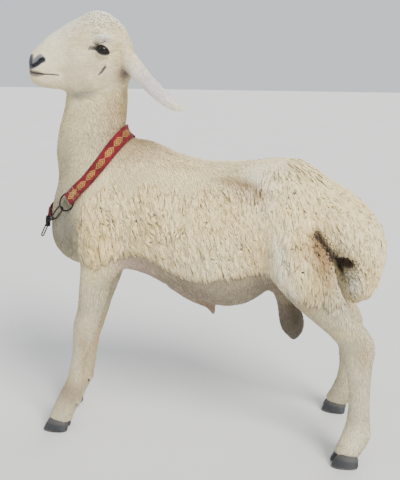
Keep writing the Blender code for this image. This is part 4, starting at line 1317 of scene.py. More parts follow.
    def tones(self, fields: dict[str, Array], lines: dict[str, Array]) -> dict[str, Array]:
        """The hide's colours and how wet and bare it is.

        Args:
            fields: what grow gave.
            lines: distances from the nostrils, mouth, tear lines, scratch and eye slits.

        Returns:
            The tint, the darkness of bare dark hide, and how wet it is.
        """
        tint = np.tile(Tone.CREAM.value, (len(self.points), 1))
        head = np.maximum(fields["head"], fields["ears"])
        # The valleys between staples take straw: yellower wool, and painted shade.
        valley = smooth(-0.2, -1.6, self.ridges() / self.RIDGE_HEIGHT) * fields["wool"]
        # The legs' tone is leg hair darkened as painted shade, and the underside band takes painted
        # shade.
        for share, tone in ((0.5 * head, Tone.PALE),
                            (0.92 * self.blended(fields["legs"], 10), Tone.OAT),
                            (0.58 * valley, Tone.STRAW),
                            (0.66 * fields["under"], Tone.TAUPE),
                            (0.96 * self.blended(self.is_part("scrotum"), 4), Tone.UMBER)):
            tint = tone.over(tint, share)
        local = HEAD.inward(self.points)
        for marks, where, share in ((MARKINGS, self.points, 1 - head),
                                    (HEAD_MARKINGS, local, head)):
            for mark in marks:
                spot = where.copy()
                middle = np.array(mark.middle)
                if mark.both_sides:
                    spot[:, 1], middle[1] = np.abs(spot[:, 1]), abs(middle[1])
                away = (((spot - middle) / np.array(mark.reach)) ** 2).sum(1)
                amount = np.minimum(1.35 * mark.strength * np.exp(-away), 0.97) * share
                tint = mark.tone.over(tint, amount)
        # Painted shade in the hollows between thigh and tail.
        tint = Tone.PIT.over(tint, 0.98 * self.hollow(0.014, 0.024))
        x, _, z = local.T
        above = lines["nostril"] - 0.007 * smooth(-0.031, -0.022, z) * smooth(0.14, 0.152, x)
        nose = np.maximum(1 - smooth(0.004, 0.011, above),
                          smooth(0.165, 0.171, x) * smooth(-0.046, -0.04, z)
                          * smooth(-0.005, -0.012, z))
        gape = 0.0018 + 0.0085 * smooth(0.138, 0.166, x)
        lip = 0.88 * (1 - smooth(0.45 * gape, gape, lines["mouth"])) * smooth(0.115, 0.125, x)
        tint = Tone.LIP.over(Tone.NOSE.over(tint, 0.92 * nose), lip)
        # The nostrils and the line between the lips are painted near black: dark skin, and painted
        # shade in the openings.
        dark = np.maximum.reduce([
            1 - smooth(0.0032, 0.0066, lines["nostril"] - 0.0012 * smooth(0.162, 0.15, x)),
            0.85 * (1 - smooth(0.001, 0.0024, lines["mouth"])),
            smooth(0.169, 0.1745, x) * smooth(-0.047, -0.04, z) * smooth(-0.006, -0.016, z),
            0.85 * (1 - smooth(0.0006, 0.0026, lines["tear"])),
            0.92 * (1 - smooth(0.0006, 0.0028,
                               lines["scratch"] - 0.0016 * smooth(0.013, 0.004, x))),
            1 - smooth(0.0014, 0.003, lines["slit"]),
            1 - smooth(-0.0004, 0.0012, lines["corner"]),
        ])
        return {"tint": Tone.SLATE.over(tint, dark), "dark": dark,
                "wet": np.maximum.reduce([dark, 0.8 * nose, 0.5 * lip])}


# ----------------------------------------------------------------- the skin

@dataclass
class Ear:
    """One ear's leaf, from inside its root on the head to its tip, in the head's frame."""

    side: int
    path: tuple = ((-0.056, 0.049, -0.018, 0.05), (-0.076, 0.063, -0.04, 0.044),
                   (-0.098, 0.08, -0.066, 0.038), (-0.122, 0.095, -0.09, 0.036),
                   (-0.146, 0.108, -0.112, 0.031), (-0.168, 0.119, -0.128, 0.022),
                   (-0.186, 0.1265, -0.1365, 0.007))
    face: Place = (0.1, 0.86, 0.5)
    cup: float = 0.2
    rim: float = 0.0022
    root: float = 0.011
    ring: int = 26
    steps: int = 7

    def mesh(self) -> Mesh:
        """The leaf, curled under along its edges, with a fold running down it.

        Returns:
            The leaf's mesh.
        """
        path = through(self.path, self.steps)
        face = np.array(self.face)
        rings = []
        for i, row in enumerate(path):
            share = i / (len(path) - 1)
            before, after = path[max(i - 1, 0), :3], path[min(i + 1, len(path) - 1), :3]
            along = unit(after - before)
            out = unit(face - along * (face @ along))
            across = np.cross(along, out)
            thick = self.rim + (self.root - self.rim) * (1 - float(smooth(0.0, 0.34, share)))
            width = row[3] * (1.0 - 0.55 * float(smooth(0.93, 1.0, share)))
            ring = []
            for k in range(self.ring):
                angle = 2 * math.pi * k / self.ring
                s = math.copysign(abs(math.cos(angle)) ** 0.8, math.cos(angle))
                rise = 0.5 * thick * math.sin(angle)
                fold = 0.0016 * math.exp(-((s - 0.25) / 0.22) ** 2) * (1 - share)
                ruffle = 0.0012 * math.sin(7.0 * share + 1.2 * s) * abs(s)
                point = (row[:3] + across * (0.5 * width * s)
                         + out * (rise - self.cup * width * s * s - fold + ruffle))
                ring.append(HEAD.outward(point * (1, -self.side, 1)))
            rings.append(ring)
        return make_mesh("ear_leaf", *swept(rings))


@dataclass
class Skin:
    """The one skin under the coat, in place of every solid of flesh."""

    voxel: float = 0.0067
    swell: float = 0.0005
    rounds: int = 12
    levels: int = 3
    fields: dict[str, Array] = field(init=False)
    parts: Array = field(init=False)

    def fused(self) -> Mesh:
        """The solids of flesh made one, with the cuts between them gone.

        Returns:
            The closed surface.
        """
        plugs = [n for n in frame["nodes"] if n.startswith(("eye_", "dewclaw_"))]
        parts = [solid_copy(name, self.swell) for name in (*FLESH, *plugs)]
        obj = make_object("fused", joined(parts, "fused"))
        with_modifier(obj, "REMESH", mode="VOXEL", voxel_size=self.voxel)
        mesh = obj.data
        discard(obj)
        return mesh

    @staticmethod
    def edge_rows(mesh: Mesh) -> Array:
        """The vertex numbers of every edge."""
        return rows_of(mesh.edges, "vertices", 2, np.int32)

    def relaxed(self, mesh: Mesh, rounds: int, weight: Optional[Array] = None) -> None:
        """Evens out the surface without shrinking it.

        Args:
            mesh: the surface.
            rounds: how often.
            weight: how much each vertex takes part.
        """
        points = coordinates(mesh)
        a, b = self.edge_rows(mesh).T
        degree = (np.bincount(a, minlength=len(points)) + np.bincount(b, minlength=len(points)))
        share = np.ones(len(points)) if weight is None else weight
        for _ in range(rounds):
            for step in (0.5, -0.53):
                total = np.stack([np.bincount(a, points[b, k], len(points))
                                  + np.bincount(b, points[a, k], len(points))
                                  for k in range(3)], axis=1)
                points += step * share[:, None] * (total / degree[:, None] - points)
        place_vertices(mesh, points)

    @staticmethod
    def triangulated(mesh: Mesh) -> None:
        """Splits every face into triangles."""
        with edited(mesh) as bm:
            bmesh.ops.triangulate(bm, faces=bm.faces)

    @staticmethod
    def fineness(local: Array, level: int) -> Array:
        """Whether places of the head's frame are worth one more level of detail.

        Args:
            local: the places.
            level: the level.

        Returns:
            Whether each is.
        """
        x, y, z = local.T
        mirrored = np.stack([x, np.abs(y), z], axis=1)
        eye = np.linalg.norm(mirrored - (0.007, 0.053, 0.002), axis=1)
        head = (x > -0.06) & (z > -0.125)
        mark = np.linalg.norm(mirrored[:, (0, 2)] - (0.006, -0.048), axis=1) < 0.0125
        if level == 0:
            return head
        if level == 1:
            return (eye < 0.037) | head & (x > 0.1) | mark
        slot = np.linalg.norm(mirrored[:, (0, 2)] - (0.156, -0.028), axis=1)
        mouth = head & (np.abs(z + 0.056) < 0.006) & (x > 0.1)
        return (eye < 0.029) | (slot < 0.024) & (np.abs(y) > 0.01) | mouth | mark

    def refined(self, mesh: Mesh) -> None:
        """Splits the head's faces, most of all round the eyes, nostrils and mouth.

        Args:
            mesh: the skin.
        """
        for level in range(self.levels):
            before = len(mesh.vertices)
            with edited(mesh) as bm:
                middles = np.array([f.calc_center_median() for f in bm.faces])
                chosen = self.fineness(HEAD.inward(middles), level)
                bm.faces.ensure_lookup_table()
                edges = {e for i in np.nonzero(chosen)[0] for e in bm.faces[i].edges}
                bmesh.ops.subdivide_edges(bm, edges=list(edges), cuts=1, use_grid_fill=True)
            weight = np.zeros(len(mesh.vertices))
            weight[self.fineness(HEAD.inward(coordinates(mesh)), level)] = 1.0
            self.relaxed(mesh, 3, weight)
            log.info("refined the head from %d to %d vertices", before, len(mesh.vertices))

    @staticmethod
    def names_of(points: Array) -> Array:
        """The solid that each point belongs to.

        Args:
            points: the points.

        Returns:
            Their names.
        """
        names, rows, faces = [], [], []
        for name in (*FLESH, *EARS):
            mesh = frame["nodes"][name].data
            start = len(rows)
            rows += [v.co.copy() for v in mesh.vertices]
            faces += [[start + v for v in p.vertices] for p in mesh.polygons]
            names += [name] * len(mesh.polygons)
        tree = BVHTree.FromPolygons(rows, faces)
        names = np.array(names)
        return names[[tree.find_nearest(Vector(p))[2] for p in points]]

    def build(self) -> Object:
        """Builds the skin with its fields stored on it.

        Returns:
            The skin's object.
        """
        body = self.fused()
        self.relaxed(body, self.rounds)
        self.refined(body)
        leaves = [Ear(side).mesh() for side in SIDES]
        body_count = len(body.vertices)
        mesh = joined([body, *leaves], "skin")
        self.triangulated(mesh)
        points = coordinates(mesh)
        edges = self.edge_rows(mesh)
        parts = self.names_of(points)
        leaf_count = len(leaves[0].vertices)
        parts[body_count:] = "ear_left"
        parts[body_count + leaf_count:] = "ear_right"
        parts[:body_count][np.char.startswith(parts[:body_count], "ear")] = "head"
        pelt = Pelt(points, vertex_normals(mesh), parts, edges,
                    tree_of(frame["nodes"]["collar_strap"].data))
        fields = pelt.grow()
        inset = fields["depth"] * (1 - fields["ears"]) - pelt.ridges() * fields["wool"]
        inset += pelt.HOLLOW_DEPTH * pelt.hollow(0.0, 0.017)
        points = points - pelt.normals * inset[:, None]
        place_vertices(mesh, points)
        lines = self.sculpted(mesh, fields)
        pelt.points = coordinates(mesh)
        pelt.normals = vertex_normals(mesh)
        fields.update(pelt.tones(fields, lines))
        fields["slit"] = np.minimum(lines["slit"], np.maximum(lines["corner"], 0))
        fields["clear"] = np.minimum.reduce([*lines.values()])
        store(mesh, fields)
        smooth_shaded(mesh)
        self.fields, self.parts = fields, parts
        return make_object("skin", mesh)

    def sculpted(self, mesh: Mesh, fields: dict[str, Array]) -> dict[str, Array]:
        """Shapes the face.

        Args:
            mesh: the skin.
            fields: the pelt's fields.

        Returns:
            Distances from the face's lines.
        """
        points, head = coordinates(mesh), fields["head"]
        local = HEAD.inward(points)
        for mound in MOUNDS:
            for side in SIDES:
                mirror = np.array((1.0, -side, 1.0))
                away = np.linalg.norm(local - np.array(mound.middle) * mirror, axis=1)
                share = smooth(mound.radius, 0.0, away) * (head > 0.3)
                points += share[:, None] * HEAD.turned(np.array(mound.push) * mirror)
        place_vertices(mesh, points)
        profile = Profile(tree_of(mesh))
        normals = vertex_normals(mesh)
        near = np.nonzero(head > 0.2)[0]
        shift = np.zeros(len(points))
        named = {"nostril": NOSTRIL, "mouth": MOUTH, "tear": TEAR_LINE, "scratch": SCRATCH}
        lines = {name: np.full(len(points), 1.0) for name in (*named, "slit")}
        for side in SIDES:
            for crease in CREASES:
                away, share = to_segments(points[near], profile.laid(crease.line, side))
                width = crease.widths[0] + (crease.widths[1] - crease.widths[0]) * share
                depth = crease.depths[0] + (crease.depths[1] - crease.depths[0]) * share
                shift[near] += depth * np.exp(-(away / width) ** 2)
            for name, line in named.items():
                away, _ = to_segments(points[near], profile.laid(line, side))
                lines[name][near] = np.minimum(lines[name][near], away)
        points += normals * shift[:, None]
        for side in SIDES:
            _, distance, along, above = LIDS.on_ball(points, side)
            away = np.where(distance < LIDS.near, np.maximum(LIDS.slit(along, above), 0), 1.0)
            lines["slit"] = np.minimum(lines["slit"], away)
        points = LIDS.shape(points)
        corner = np.where(head > 0.3, LIDS.outside_corners(HEAD.inward(points)), 1.0)
        sunk = 0.003 * smooth(0.0008, -0.003, corner) * smooth(0.0004, 0.003, lines["slit"])
        lines["corner"] = corner
        place_vertices(mesh, points - normals * sunk[:, None])
        return lines


@dataclass(frozen=True)
class HideFinish:
    """Hide with its shortest hair, which is finer than any tuft."""

    roughness: float = 0.78
    wet_roughness: float = 0.34

    def material(self) -> Material:
        """Tinted hide, streaked along the hair, with pores where it is bare.

        Returns:
            The material.
        """
        material, paint = new_material("hide")
        wet, head = paint.value("wet"), paint.value("head")
        body_hair = paint.noise(paint.places((420, 420, 70)), 1.0, 3.0)
        face_hair = paint.noise(paint.places((120, 620, 620), HEAD_TURN), 1.0, 3.0)
        hair = paint.plus(paint.times(face_hair, head),
                          paint.times(body_hair, paint.minus(1.0, head)))
        blotch = paint.noise(paint.places(), 26.0, 4.0, 0.6)
        pores = paint.add("ShaderNodeTexVoronoi", {"Vector": paint.places(), "Scale": 900.0})
        shade = paint.scaled(paint.plus(hair, blotch), 0.6, 1.4, 0.74, 1.1)
        rough = paint.minus(self.roughness, paint.times(wet, self.roughness - self.wet_roughness))
        coarse = paint.bump(hair, 0.0011)
        paint.dress({"Base Color": paint.shaded(paint.value("tint", "Color"), shade),
                     "Roughness": rough,
                     "Normal": paint.bump(pores.outputs[0], 0.00035, coarse)})
        return material


# ----------------------------------------------------------------- the coat

@dataclass(frozen=True)
class TuftShape:
    """A tuft of strands, one long, one wide and one high, before it is given its size."""

    name: str
    strands: int = 1
    rings: int = 2
    sides: int = 3
    width: float = 1.0
    thickness: float = 0.3
    crimp: float = 0.0
    waves: float = 2.5
    spread: float = 0.0
    gather: float = 0.35
    curled: bool = False
    lift: float = 1.0
    variants: int = 4

    def strand(self, draw: np.random.Generator, offset: float) -> tuple[list, list, list]:
        """One closed strand.

        Args:
            draw: the source of chance.
            offset: how far to the side it starts.

        Returns:
            Its points, faces and each point's place along it.
        """
        count = self.rings + 2
        s = np.linspace(0.0, 1.0, count)
        reach = draw.uniform(0.86, 1.0)
        phase = draw.uniform(0.0, 1.0)
        ramp = np.minimum(1.0, 2.5 * s)
        lean = draw.normal(0.0, 0.1)
        y = offset * (1 - (1 - self.gather) * s) + lean * s ** 1.5
        y = y + self.crimp * np.sin(2 * np.pi * (self.waves * s + phase)) * ramp
        z = -0.16 + self.lift * s ** 0.72 * draw.uniform(0.92, 1.1) - 0.1 * s ** 5
        if self.crimp:
            z = np.interp(s, (0, 0.18, 0.45, 0.8, 1.0), (-0.16, 0.62, 0.92, 0.8, 0.34))
            z = z * draw.uniform(0.85, 1.1)
        z = z + 0.07 * (self.crimp > 0) * np.cos(2 * np.pi * (self.waves * s + phase)) * ramp
        x = s * reach
        if self.curled:
            turn = 2 * np.pi * (1.15 * s + 0.1 * phase)
            shrink = 1 - 0.45 * s
            x = 0.42 - 0.42 * np.cos(turn) * shrink
            y = offset + 0.45 * np.sin(turn) * shrink * (1 if draw.random() < 0.5 else -1)
            z = -0.1 + 1.0 * s ** 0.6 + 0.06 * lean
        path = np.stack([x, y, z], axis=1)
        tangents = unit(np.gradient(path, axis=0))
        across = unit(np.cross((0.0, 0.0, 1.0), tangents))
        over = np.cross(tangents, across)
        profile = np.sqrt(np.clip(1 - s ** 2.6, 0, 1)) * (0.55 + 0.45 * smooth(0.0, 0.35, s))
        points, places, faces = [path[0]], [0.0], []
        start = 0.25 if self.sides == 3 else 0.0
        for i in range(1, count - 1):
            for k in range(self.sides):
                angle = 2 * math.pi * (k / self.sides + start)
                points.append(path[i]
                              + across[i] * (0.5 * self.width * profile[i] * math.cos(angle))
                              + over[i] * (0.5 * self.thickness * profile[i] * math.sin(angle)))
                places.append(s[i])
        points.append(path[-1])
        places.append(1.0)
        last = len(points) - 1
        for k in range(self.sides):
            n = (k + 1) % self.sides
            faces.append((0, 1 + n, 1 + k))
            for i in range(self.rings - 1):
                low, high = 1 + i * self.sides, 1 + (i + 1) * self.sides
                faces.append((low + k, low + n, high + n, high + k))
            top = 1 + (self.rings - 1) * self.sides
            faces.append((top + k, top + n, last))
        return points, faces, places

    def objects(self, collection: bpy.types.Collection) -> None:
        """Puts each variant of the tuft into the collection.

        Args:
            collection: the collection.
        """
        draw = np.random.default_rng(len(self.name) * 7 + self.strands)
        for variant in range(self.variants):
            points, faces, places = [], [], []
            for i in range(self.strands):
                middle = (i - (self.strands - 1) / 2) / max(self.strands - 1, 1)
                found = self.strand(draw, self.spread * (middle + draw.uniform(-0.12, 0.12)))
                faces += [tuple(len(points) + v for v in f) for f in found[1]]
                points += found[0]
                places += found[2]
            mesh = make_mesh(f"{self.name}_{variant}", points, faces)
            smooth_shaded(mesh)
            along = mesh.attributes.new("along", "FLOAT", "POINT")
            along.data.foreach_set("value", places)
            rise = mesh.attributes.new("rise", "FLOAT", "POINT")
            rise.data.foreach_set("value", coordinates(mesh)[:, 2])
            collection.objects.link(bpy.data.objects.new(mesh.name, mesh))


@dataclass
class Scatter:
    """Geometry Nodes that set tufts on a surface, turn them along its lie and bend them to it."""

    tufts: bpy.types.Collection
    material: Material
    surface: Object
    growth: "Growth"
    seed: int
    tree: Tree = field(init=False)

    INPUTS = {"Spacing": "Float", "Density": "Float", "Seed": "Int", "Turn": "Float",
              "Vary": "Float", "Uneven": "Float", "Hug": "Float", "Tufts": "Collection",
              "Surface": "Object", "Finish": "Material"}

    def build(self) -> Tree:
        """Builds the tree and its named inputs.

        Returns:
            The tree.
        """
        graph = Graph(bpy.data.node_groups.new("tufts_on_skin", "GeometryNodeTree"))
        ask = graph.ask(self.INPUTS)
        points = graph.add("GeometryNodeDistributePointsOnFaces", {
            "Mesh": ask("Geometry"), "Distance Min": ask("Spacing"),
            "Density Max": ask("Density"), "Density Factor": graph.stored("cover"),
            "Seed": ask("Seed")}, distribute_method="POISSON")
        kept = graph.out(points, "Points")
        size = graph.stored("size", "FLOAT_VECTOR")
        height = graph.add("ShaderNodeSeparateXYZ", {0: size}).outputs[2]
        unlike = graph.maths("MULTIPLY_ADD", ask("Uneven"), graph.chance(-1.0, 1.0, 13), 1.0)
        for name, source in (("chance", graph.chance(0.0, 1.0, 3)),
                             ("tall", graph.maths("MULTIPLY", height, unlike))):
            kept = graph.out(graph.add("GeometryNodeStoreNamedAttribute",
                                       {"Geometry": kept, "Name": name, "Value": source},
                                       data_type="FLOAT", domain="POINT"), "Geometry")
        facing = graph.add("FunctionNodeAxesToRotation",
                           {0: graph.out(points, "Normal"), 1: graph.stored("lie", "FLOAT_VECTOR")},
                           primary_axis="Z", secondary_axis="X")
        swing = graph.maths("MULTIPLY", ask("Turn"), graph.chance(-1.0, 1.0, 5))
        yaw = graph.add("FunctionNodeEulerToRotation",
                        {0: graph.add("ShaderNodeCombineXYZ", {2: swing}).outputs[0]})
        turned = graph.add("FunctionNodeRotateRotation",
                           {0: facing.outputs[0], 1: yaw.outputs[0]}, rotation_space="LOCAL")
        wide = graph.maths("MULTIPLY_ADD", ask("Vary"), graph.chance(-1.0, 1.0, 7), 1.0)
        source = graph.add("GeometryNodeCollectionInfo", {
            "Collection": ask("Tufts"), "Separate Children": True, "Reset Children": True})
        placed = graph.add("GeometryNodeInstanceOnPoints", {
            "Points": kept, "Instance": source.outputs[0], "Pick Instance": True,
            "Instance Index": graph.chance(0, 97, 11, "INT"), "Rotation": turned.outputs[0],
            "Scale": graph.vectors("MULTIPLY", {0: size, 1: wide})})
        real = graph.add("GeometryNodeRealizeInstances", {0: placed.outputs[0]})
        skin = graph.out(graph.add("GeometryNodeObjectInfo", {"Object": ask("Surface")}),
                         "Geometry")
        near = graph.add("GeometryNodeProximity", {0: skin}, target_element="FACES")
        slope = graph.add("GeometryNodeSampleNearestSurface", {
            "Mesh": skin, "Value": graph.add("GeometryNodeInputNormal").outputs[0]},
            data_type="FLOAT_VECTOR")
        lift = graph.maths("MULTIPLY", graph.stored("rise"), graph.stored("tall"))
        raised = graph.vectors("SCALE", {0: graph.out(slope, "Value"), 3: lift})
        bent = graph.add("ShaderNodeMix", {
            0: ask("Hug"), 4: graph.add("GeometryNodeInputPosition").outputs[0],
            5: graph.vectors("ADD", {0: near.outputs[0], 1: raised})}, data_type="VECTOR")
        moved = graph.add("GeometryNodeSetPosition",
                          {"Geometry": real.outputs[0], "Position": bent.outputs[1]})
        dressed = graph.add("GeometryNodeSetMaterial",
                            {"Geometry": moved.outputs[0], "Material": ask("Finish")})
        graph.add("NodeGroupOutput", {0: dressed.outputs[0]})
        return graph.tree

    def grown_on(self, patch: Object) -> Mesh:
        """The tufts that grow on a patch of skin.

        Args:
            patch: the patch, with size, cover, lie and tint stored on it.

        Returns:
            Their joined mesh.
        """
        growth = self.growth
        return run_nodes(patch, self.tree, {
            "Spacing": growth.spacing, "Density": 1.2 / growth.spacing ** 2, "Seed": self.seed,
            "Turn": growth.turn, "Vary": growth.vary, "Uneven": growth.uneven,
            "Hug": growth.hug, "Tufts": self.tufts, "Surface": self.surface,
            "Finish": self.material})

    def __post_init__(self) -> None:
        """Builds the tree once."""
        self.tree = self.build()


@dataclass(frozen=True)
class Growth:
    """One kind of coat: its tuft, how thickly it is set and where it grows."""

    name: str
    shape: TuftShape
    spacing: float
    slot: str
    cover: Callable[[dict], Array]
    size: Callable[[dict], tuple]  # how long, wide and high a tuft is
    turn: float = 0.22  # how far a tuft may turn from the lie, in radians
    vary: float = 0.22  # how far its size may differ, as a share
    hug: float = 0.85  # how closely it bends to the surface
    uneven: float = 0.15  # how far its height may differ, as a share
    straw: float = 0.3  # how strawy its tips are
    strand_gap_shade: float = 0.04  # how much darker the gaps between strands are, as painted shade


GROWTHS = (
    Growth("fleece", TuftShape("lock", strands=3, rings=7, sides=3, width=0.56, thickness=0.26,
                               crimp=0.085, waves=2.7, spread=0.8, gather=0.42, variants=9),
           0.0052, "wool",
           lambda f: smooth(0.06, 0.55, f["wool"]) * (1 - 0.9 * f["press"]),
           lambda f: ((0.03 + 0.022 * f["wool"]) * (1 - 0.78 * f["gap"]),
                      0.0058 + 0.0026 * f["wool"], 0.001 + f["depth"]),
           turn=0.07, vary=0.18, hug=0.94, uneven=0.2, straw=0.6, strand_gap_shade=0.17),
    Growth("coat", TuftShape("blade", width=1.0, thickness=0.34, variants=5),
           0.004, "wool",
           lambda f: (1 - smooth(0.35, 0.75, f["wool"])) * (1 - smooth(0.2, 0.6, f["head"]))
           * (1 - f["ears"]) * (1 - 0.72 * f["bald"]),
           lambda f: (1.15 * f["length"] * (1 + 0.5 * f["wool"]), 0.0021 - 0.0003 * f["legs"],
                      f["depth"] * (0.72 - 0.3 * f["press"])),
           turn=0.16, hug=0.95, uneven=0.1, straw=0.18),
    Growth("face", TuftShape("wisp", width=1.0, thickness=0.42, variants=4),
           0.0026, "face_hair",
           lambda f: smooth(0.3, 0.7, f["head"]) * (1 - f["poll"])
           * (1 - smooth(0.05, 0.3, f["wet"])) * smooth(0.0022, 0.006, f["slit"]),
           lambda f: (1.2 * f["length"] * (0.35 + 0.65 * smooth(0.002, 0.014, f["clear"])),
                      0.001, 0.72 * f["depth"]),
           turn=0.14, hug=0.95, straw=0.1),
    Growth("poll", TuftShape("curl", strands=2, rings=7, sides=3, width=0.36, thickness=0.34,
                             spread=0.36, curled=True, variants=8),
           0.0042, "face_hair", lambda f: smooth(0.1, 0.5, f["poll"]),
           lambda f: (0.01, 0.0092, 0.8 * f["depth"]), turn=0.9, vary=0.25, hug=0.8,
           uneven=0.3, straw=0.2),
    Growth("ears", TuftShape("down", width=1.0, thickness=0.4, variants=4),
           0.0034, "face_hair", lambda f: smooth(0.4, 0.6, f["ears"]),
           lambda f: (f["length"], 0.0011, f["depth"]), turn=0.18, hug=0.8, straw=0.05),
)


@dataclass(frozen=True)
class HairFinish:
    """Hair that takes the hide's tint, with painted shade at its roots and between its strands, and
    strawy tips.
    """

    name: str
    roughness: float
    straw: float
    root_shade: float
    strand_gap_shade: float

    def material(self) -> Material:
        """Tinted hair with a difference between tufts, along each tuft and in patches.

        Returns:
            The material.
        """
        material, paint = new_material(self.name)
        along, chance = paint.value("along"), paint.value("chance")
        # Painted shade, warm and darker, towards each tuft's roots.
        root = paint.scaled(along, 0.75, 0.0, 0.0, self.root_shade)
        tuft = paint.scaled(chance, 0.0, 1.0, 0.92, 1.1, "LINEAR")
        patch = paint.scaled(paint.noise(paint.places(), 21.0, 3.0), 0.3, 0.7, 0.95, 1.05)
        # Painted light and shade along the strands: lighter strands, and darker, warmer gaps
        # between them.
        strands = paint.noise(paint.places((150, 150, 42)), 1.0, 2.5, 0.6)
        strand_shade = paint.scaled(strands, 0.36, 0.62, 1.0 - self.strand_gap_shade, 1.0 + 0.25 * self.strand_gap_shade)
        shade = paint.times(paint.times(tuft, patch), strand_shade)
        tint = paint.shaded(paint.value("tint", "Color"), shade)
        tint = paint.mix(root, tint, (0.92, 0.84, 0.68), "MULTIPLY")
        warm = paint.scaled(strand_shade, 1.0, 1.0 - self.strand_gap_shade, 0.0, 0.8 * (self.strand_gap_shade > 0.1))
        tint = paint.mix(warm, tint, (1.0, 0.93, 0.78), "MULTIPLY")
        drift = paint.scaled(paint.noise(paint.places(), 34.0, 3.0, 0.6), 0.4, 0.62)
        tipped = paint.times(paint.scaled(along, 0.45, 1.0), drift)
        amount = paint.times(tipped, self.straw)
        streak = paint.noise(paint.places((900, 900, 160)), 1.0, 2.0)
        rough = paint.scaled(streak, 0.3, 0.7, self.roughness - 0.08, self.roughness + 0.08)
        paint.dress({"Base Color": paint.mix(amount, tint, (0.9, 0.77, 0.53), "MULTIPLY"),
                     "Roughness": rough, "Normal": paint.bump(streak, 0.0005),
                     "Sheen Weight": 0.25, "Sheen Roughness": 0.5, "Specular IOR Level": 0.25})
        return material


@dataclass
class Coat:
    """Every coat piece, grown on the skin."""

    skin: Object
    fields: dict[str, Array]
    parts: Array
    most_faces: int = 185_000
    least_cover: float = 0.02
    packing: float = 0.7  # tufts for each square of the spacing
    patch_size: float = 0.003  # of a tuft on the bake map
    seed: int = 71
    roughness: float = 0.72
    # how much painted shade darkens the tufts' roots
    root_shade: float = 0.55

    def unwrapped(self) -> Array:
        """A flat place for each of the skin's vertices, round the axis of the solid it is on.

        Returns:
            The flat places, with 0 as their third number.
        """
        points = coordinates(self.skin.data)
        flat = np.zeros((len(points), 3))
        names = sorted(set(self.parts))
        columns = math.ceil(math.sqrt(len(names)))
        for i, name in enumerate(names):
            mine = self.parts == name
            spots = points[mine]
            if name in ("head", "lower_jaw"):
                spots = HEAD.inward(spots)
            low, high = spots.min(0), spots.max(0)
            middle = (low + high) / 2
            lengthwise = 0 if name in ("trunk", "head", "lower_jaw") else 2
            across = [k for k in range(3) if k != lengthwise]
            angle = np.arctan2(*(spots - middle)[:, across].T)
            cell = np.array((i % columns, i // columns)) / columns
            share = (spots[:, lengthwise] - low[lengthwise]) / (high - low)[lengthwise]
            flat[mine, 0] = cell[0] + (0.05 + 0.9 * share) / columns
            flat[mine, 1] = cell[1] + (0.5 + 0.9 * angle / (2 * np.pi)) / columns
        return flat

    def patches(self, growth: Growth, cover: Array) -> list[Array]:
        """Parts the skin that a growth covers into lots small enough for one piece each.

        Args:
            growth: the growth.
            cover: how much of it grows at each vertex.

        Returns:
            Each lot's triangles.
        """
        points = coordinates(self.skin.data)
        triangles = rows_of(self.skin.data.polygons, "vertices", 3, np.int32)
        triangles = triangles[cover[triangles].max(axis=1) > self.least_cover]
        a, b, c = (points[triangles[:, k]] for k in range(3))
        area = 0.5 * np.linalg.norm(np.cross(b - a, c - a), axis=1)
        shape = growth.shape
        faces = shape.strands * (2 * shape.sides + 2 * shape.sides * (shape.rings - 1))
        covered = area * cover[triangles].mean(axis=1)
        expected = covered.sum() * self.packing / growth.spacing ** 2 * faces
        lots = max(1, math.ceil(expected / self.most_faces))
        middles = (a + b + c) / 3
        key = middles[:, 0] + 3.0 * (middles[:, 1] > 0) * (lots > 1)
        order = np.argsort(key, kind="stable")
        share = np.cumsum(covered[order])
        bins = np.minimum((share / share[-1] * lots).astype(int), lots - 1)
        return [triangles[order[bins == i]] for i in range(lots)]

    def patch_object(self, triangles: Array, layers: dict[str, Array]) -> Object:
        """A loose patch of skin that carries the layers which a growth reads.

        Args:
            triangles: the patch's triangles.
            layers: the layers, for the whole skin.

        Returns:
            The patch.
        """
        used, rows = np.unique(triangles, return_inverse=True)
        points = coordinates(self.skin.data)[used]
        mesh = bpy.data.meshes.new("patch")
        mesh.from_pydata([tuple(p) for p in points], [], rows.reshape(-1, 3).tolist())
        store(mesh, {name: values[used] for name, values in layers.items()})
        return make_object("patch", mesh)

    def mapped(self, mesh: Mesh) -> None:
        """Gives each tuft a small patch of the bake map, at its root's flat place.

        Args:
            mesh: the tufts.
        """
        flat = rows_of(mesh.attributes["flat"].data, "vector")[:, :2]
        along = rows_of(mesh.attributes["along"].data, "value", 1)[:, 0]
        low, high = flat.min(0), flat.max(0)
        flat = 0.01 + 0.98 * (flat - low) / np.maximum(high - low, 1e-6)
        angle = 2.4 * np.arange(len(along))
        spot = flat + self.patch_size * np.stack([along - 0.5, 0.35 * np.cos(angle)], axis=1)
        corners = rows_of(mesh.loops, "vertex_index", 1, np.int32)[:, 0]
        layer = mesh.uv_layers.new(name="OFBake")
        layer.data.foreach_set("uv", np.clip(spot[corners], 0, 1).astype(np.float32).ravel())

    def grow(self) -> None:
        """Grows every kind of coat."""
        flat = self.unwrapped()
        for number, growth in enumerate(GROWTHS):
            began = time.perf_counter()
            tufts = bpy.data.collections.new(growth.shape.name)
            growth.shape.objects(tufts)
            finish = HairFinish(growth.name, self.roughness, growth.straw, self.root_shade,
                                growth.strand_gap_shade)
            cover = np.clip(growth.cover(self.fields), 0, 1)
            size = np.stack(np.broadcast_arrays(*growth.size(self.fields)), axis=1)
            scatter = Scatter(tufts, finish.material(), self.skin, growth, self.seed + number)
            layers = {"cover": cover, "size": size, "lie": self.fields["lie"],
                      "tint": self.fields["tint"], "flat": flat}
            for i, triangles in enumerate(self.patches(growth, cover)):
                patch = self.patch_object(triangles, layers)
                mesh = scatter.grown_on(patch)
                discard(patch)
                self.mapped(mesh)
                for name in ("tall", "rise", "size", "cover", "lie", "flat"):
                    if name in mesh.attributes:
                        mesh.attributes.remove(mesh.attributes[name])
                finished(make_object(f"{growth.name}_{i + 1:02d}", mesh), growth.slot)
            log.info("%s took %.1f s", growth.name, time.perf_counter() - began)
            for obj in list(tufts.objects):
                discard(obj)
            bpy.data.collections.remove(tufts)


# ----------------------------------------------------------------- the eyes

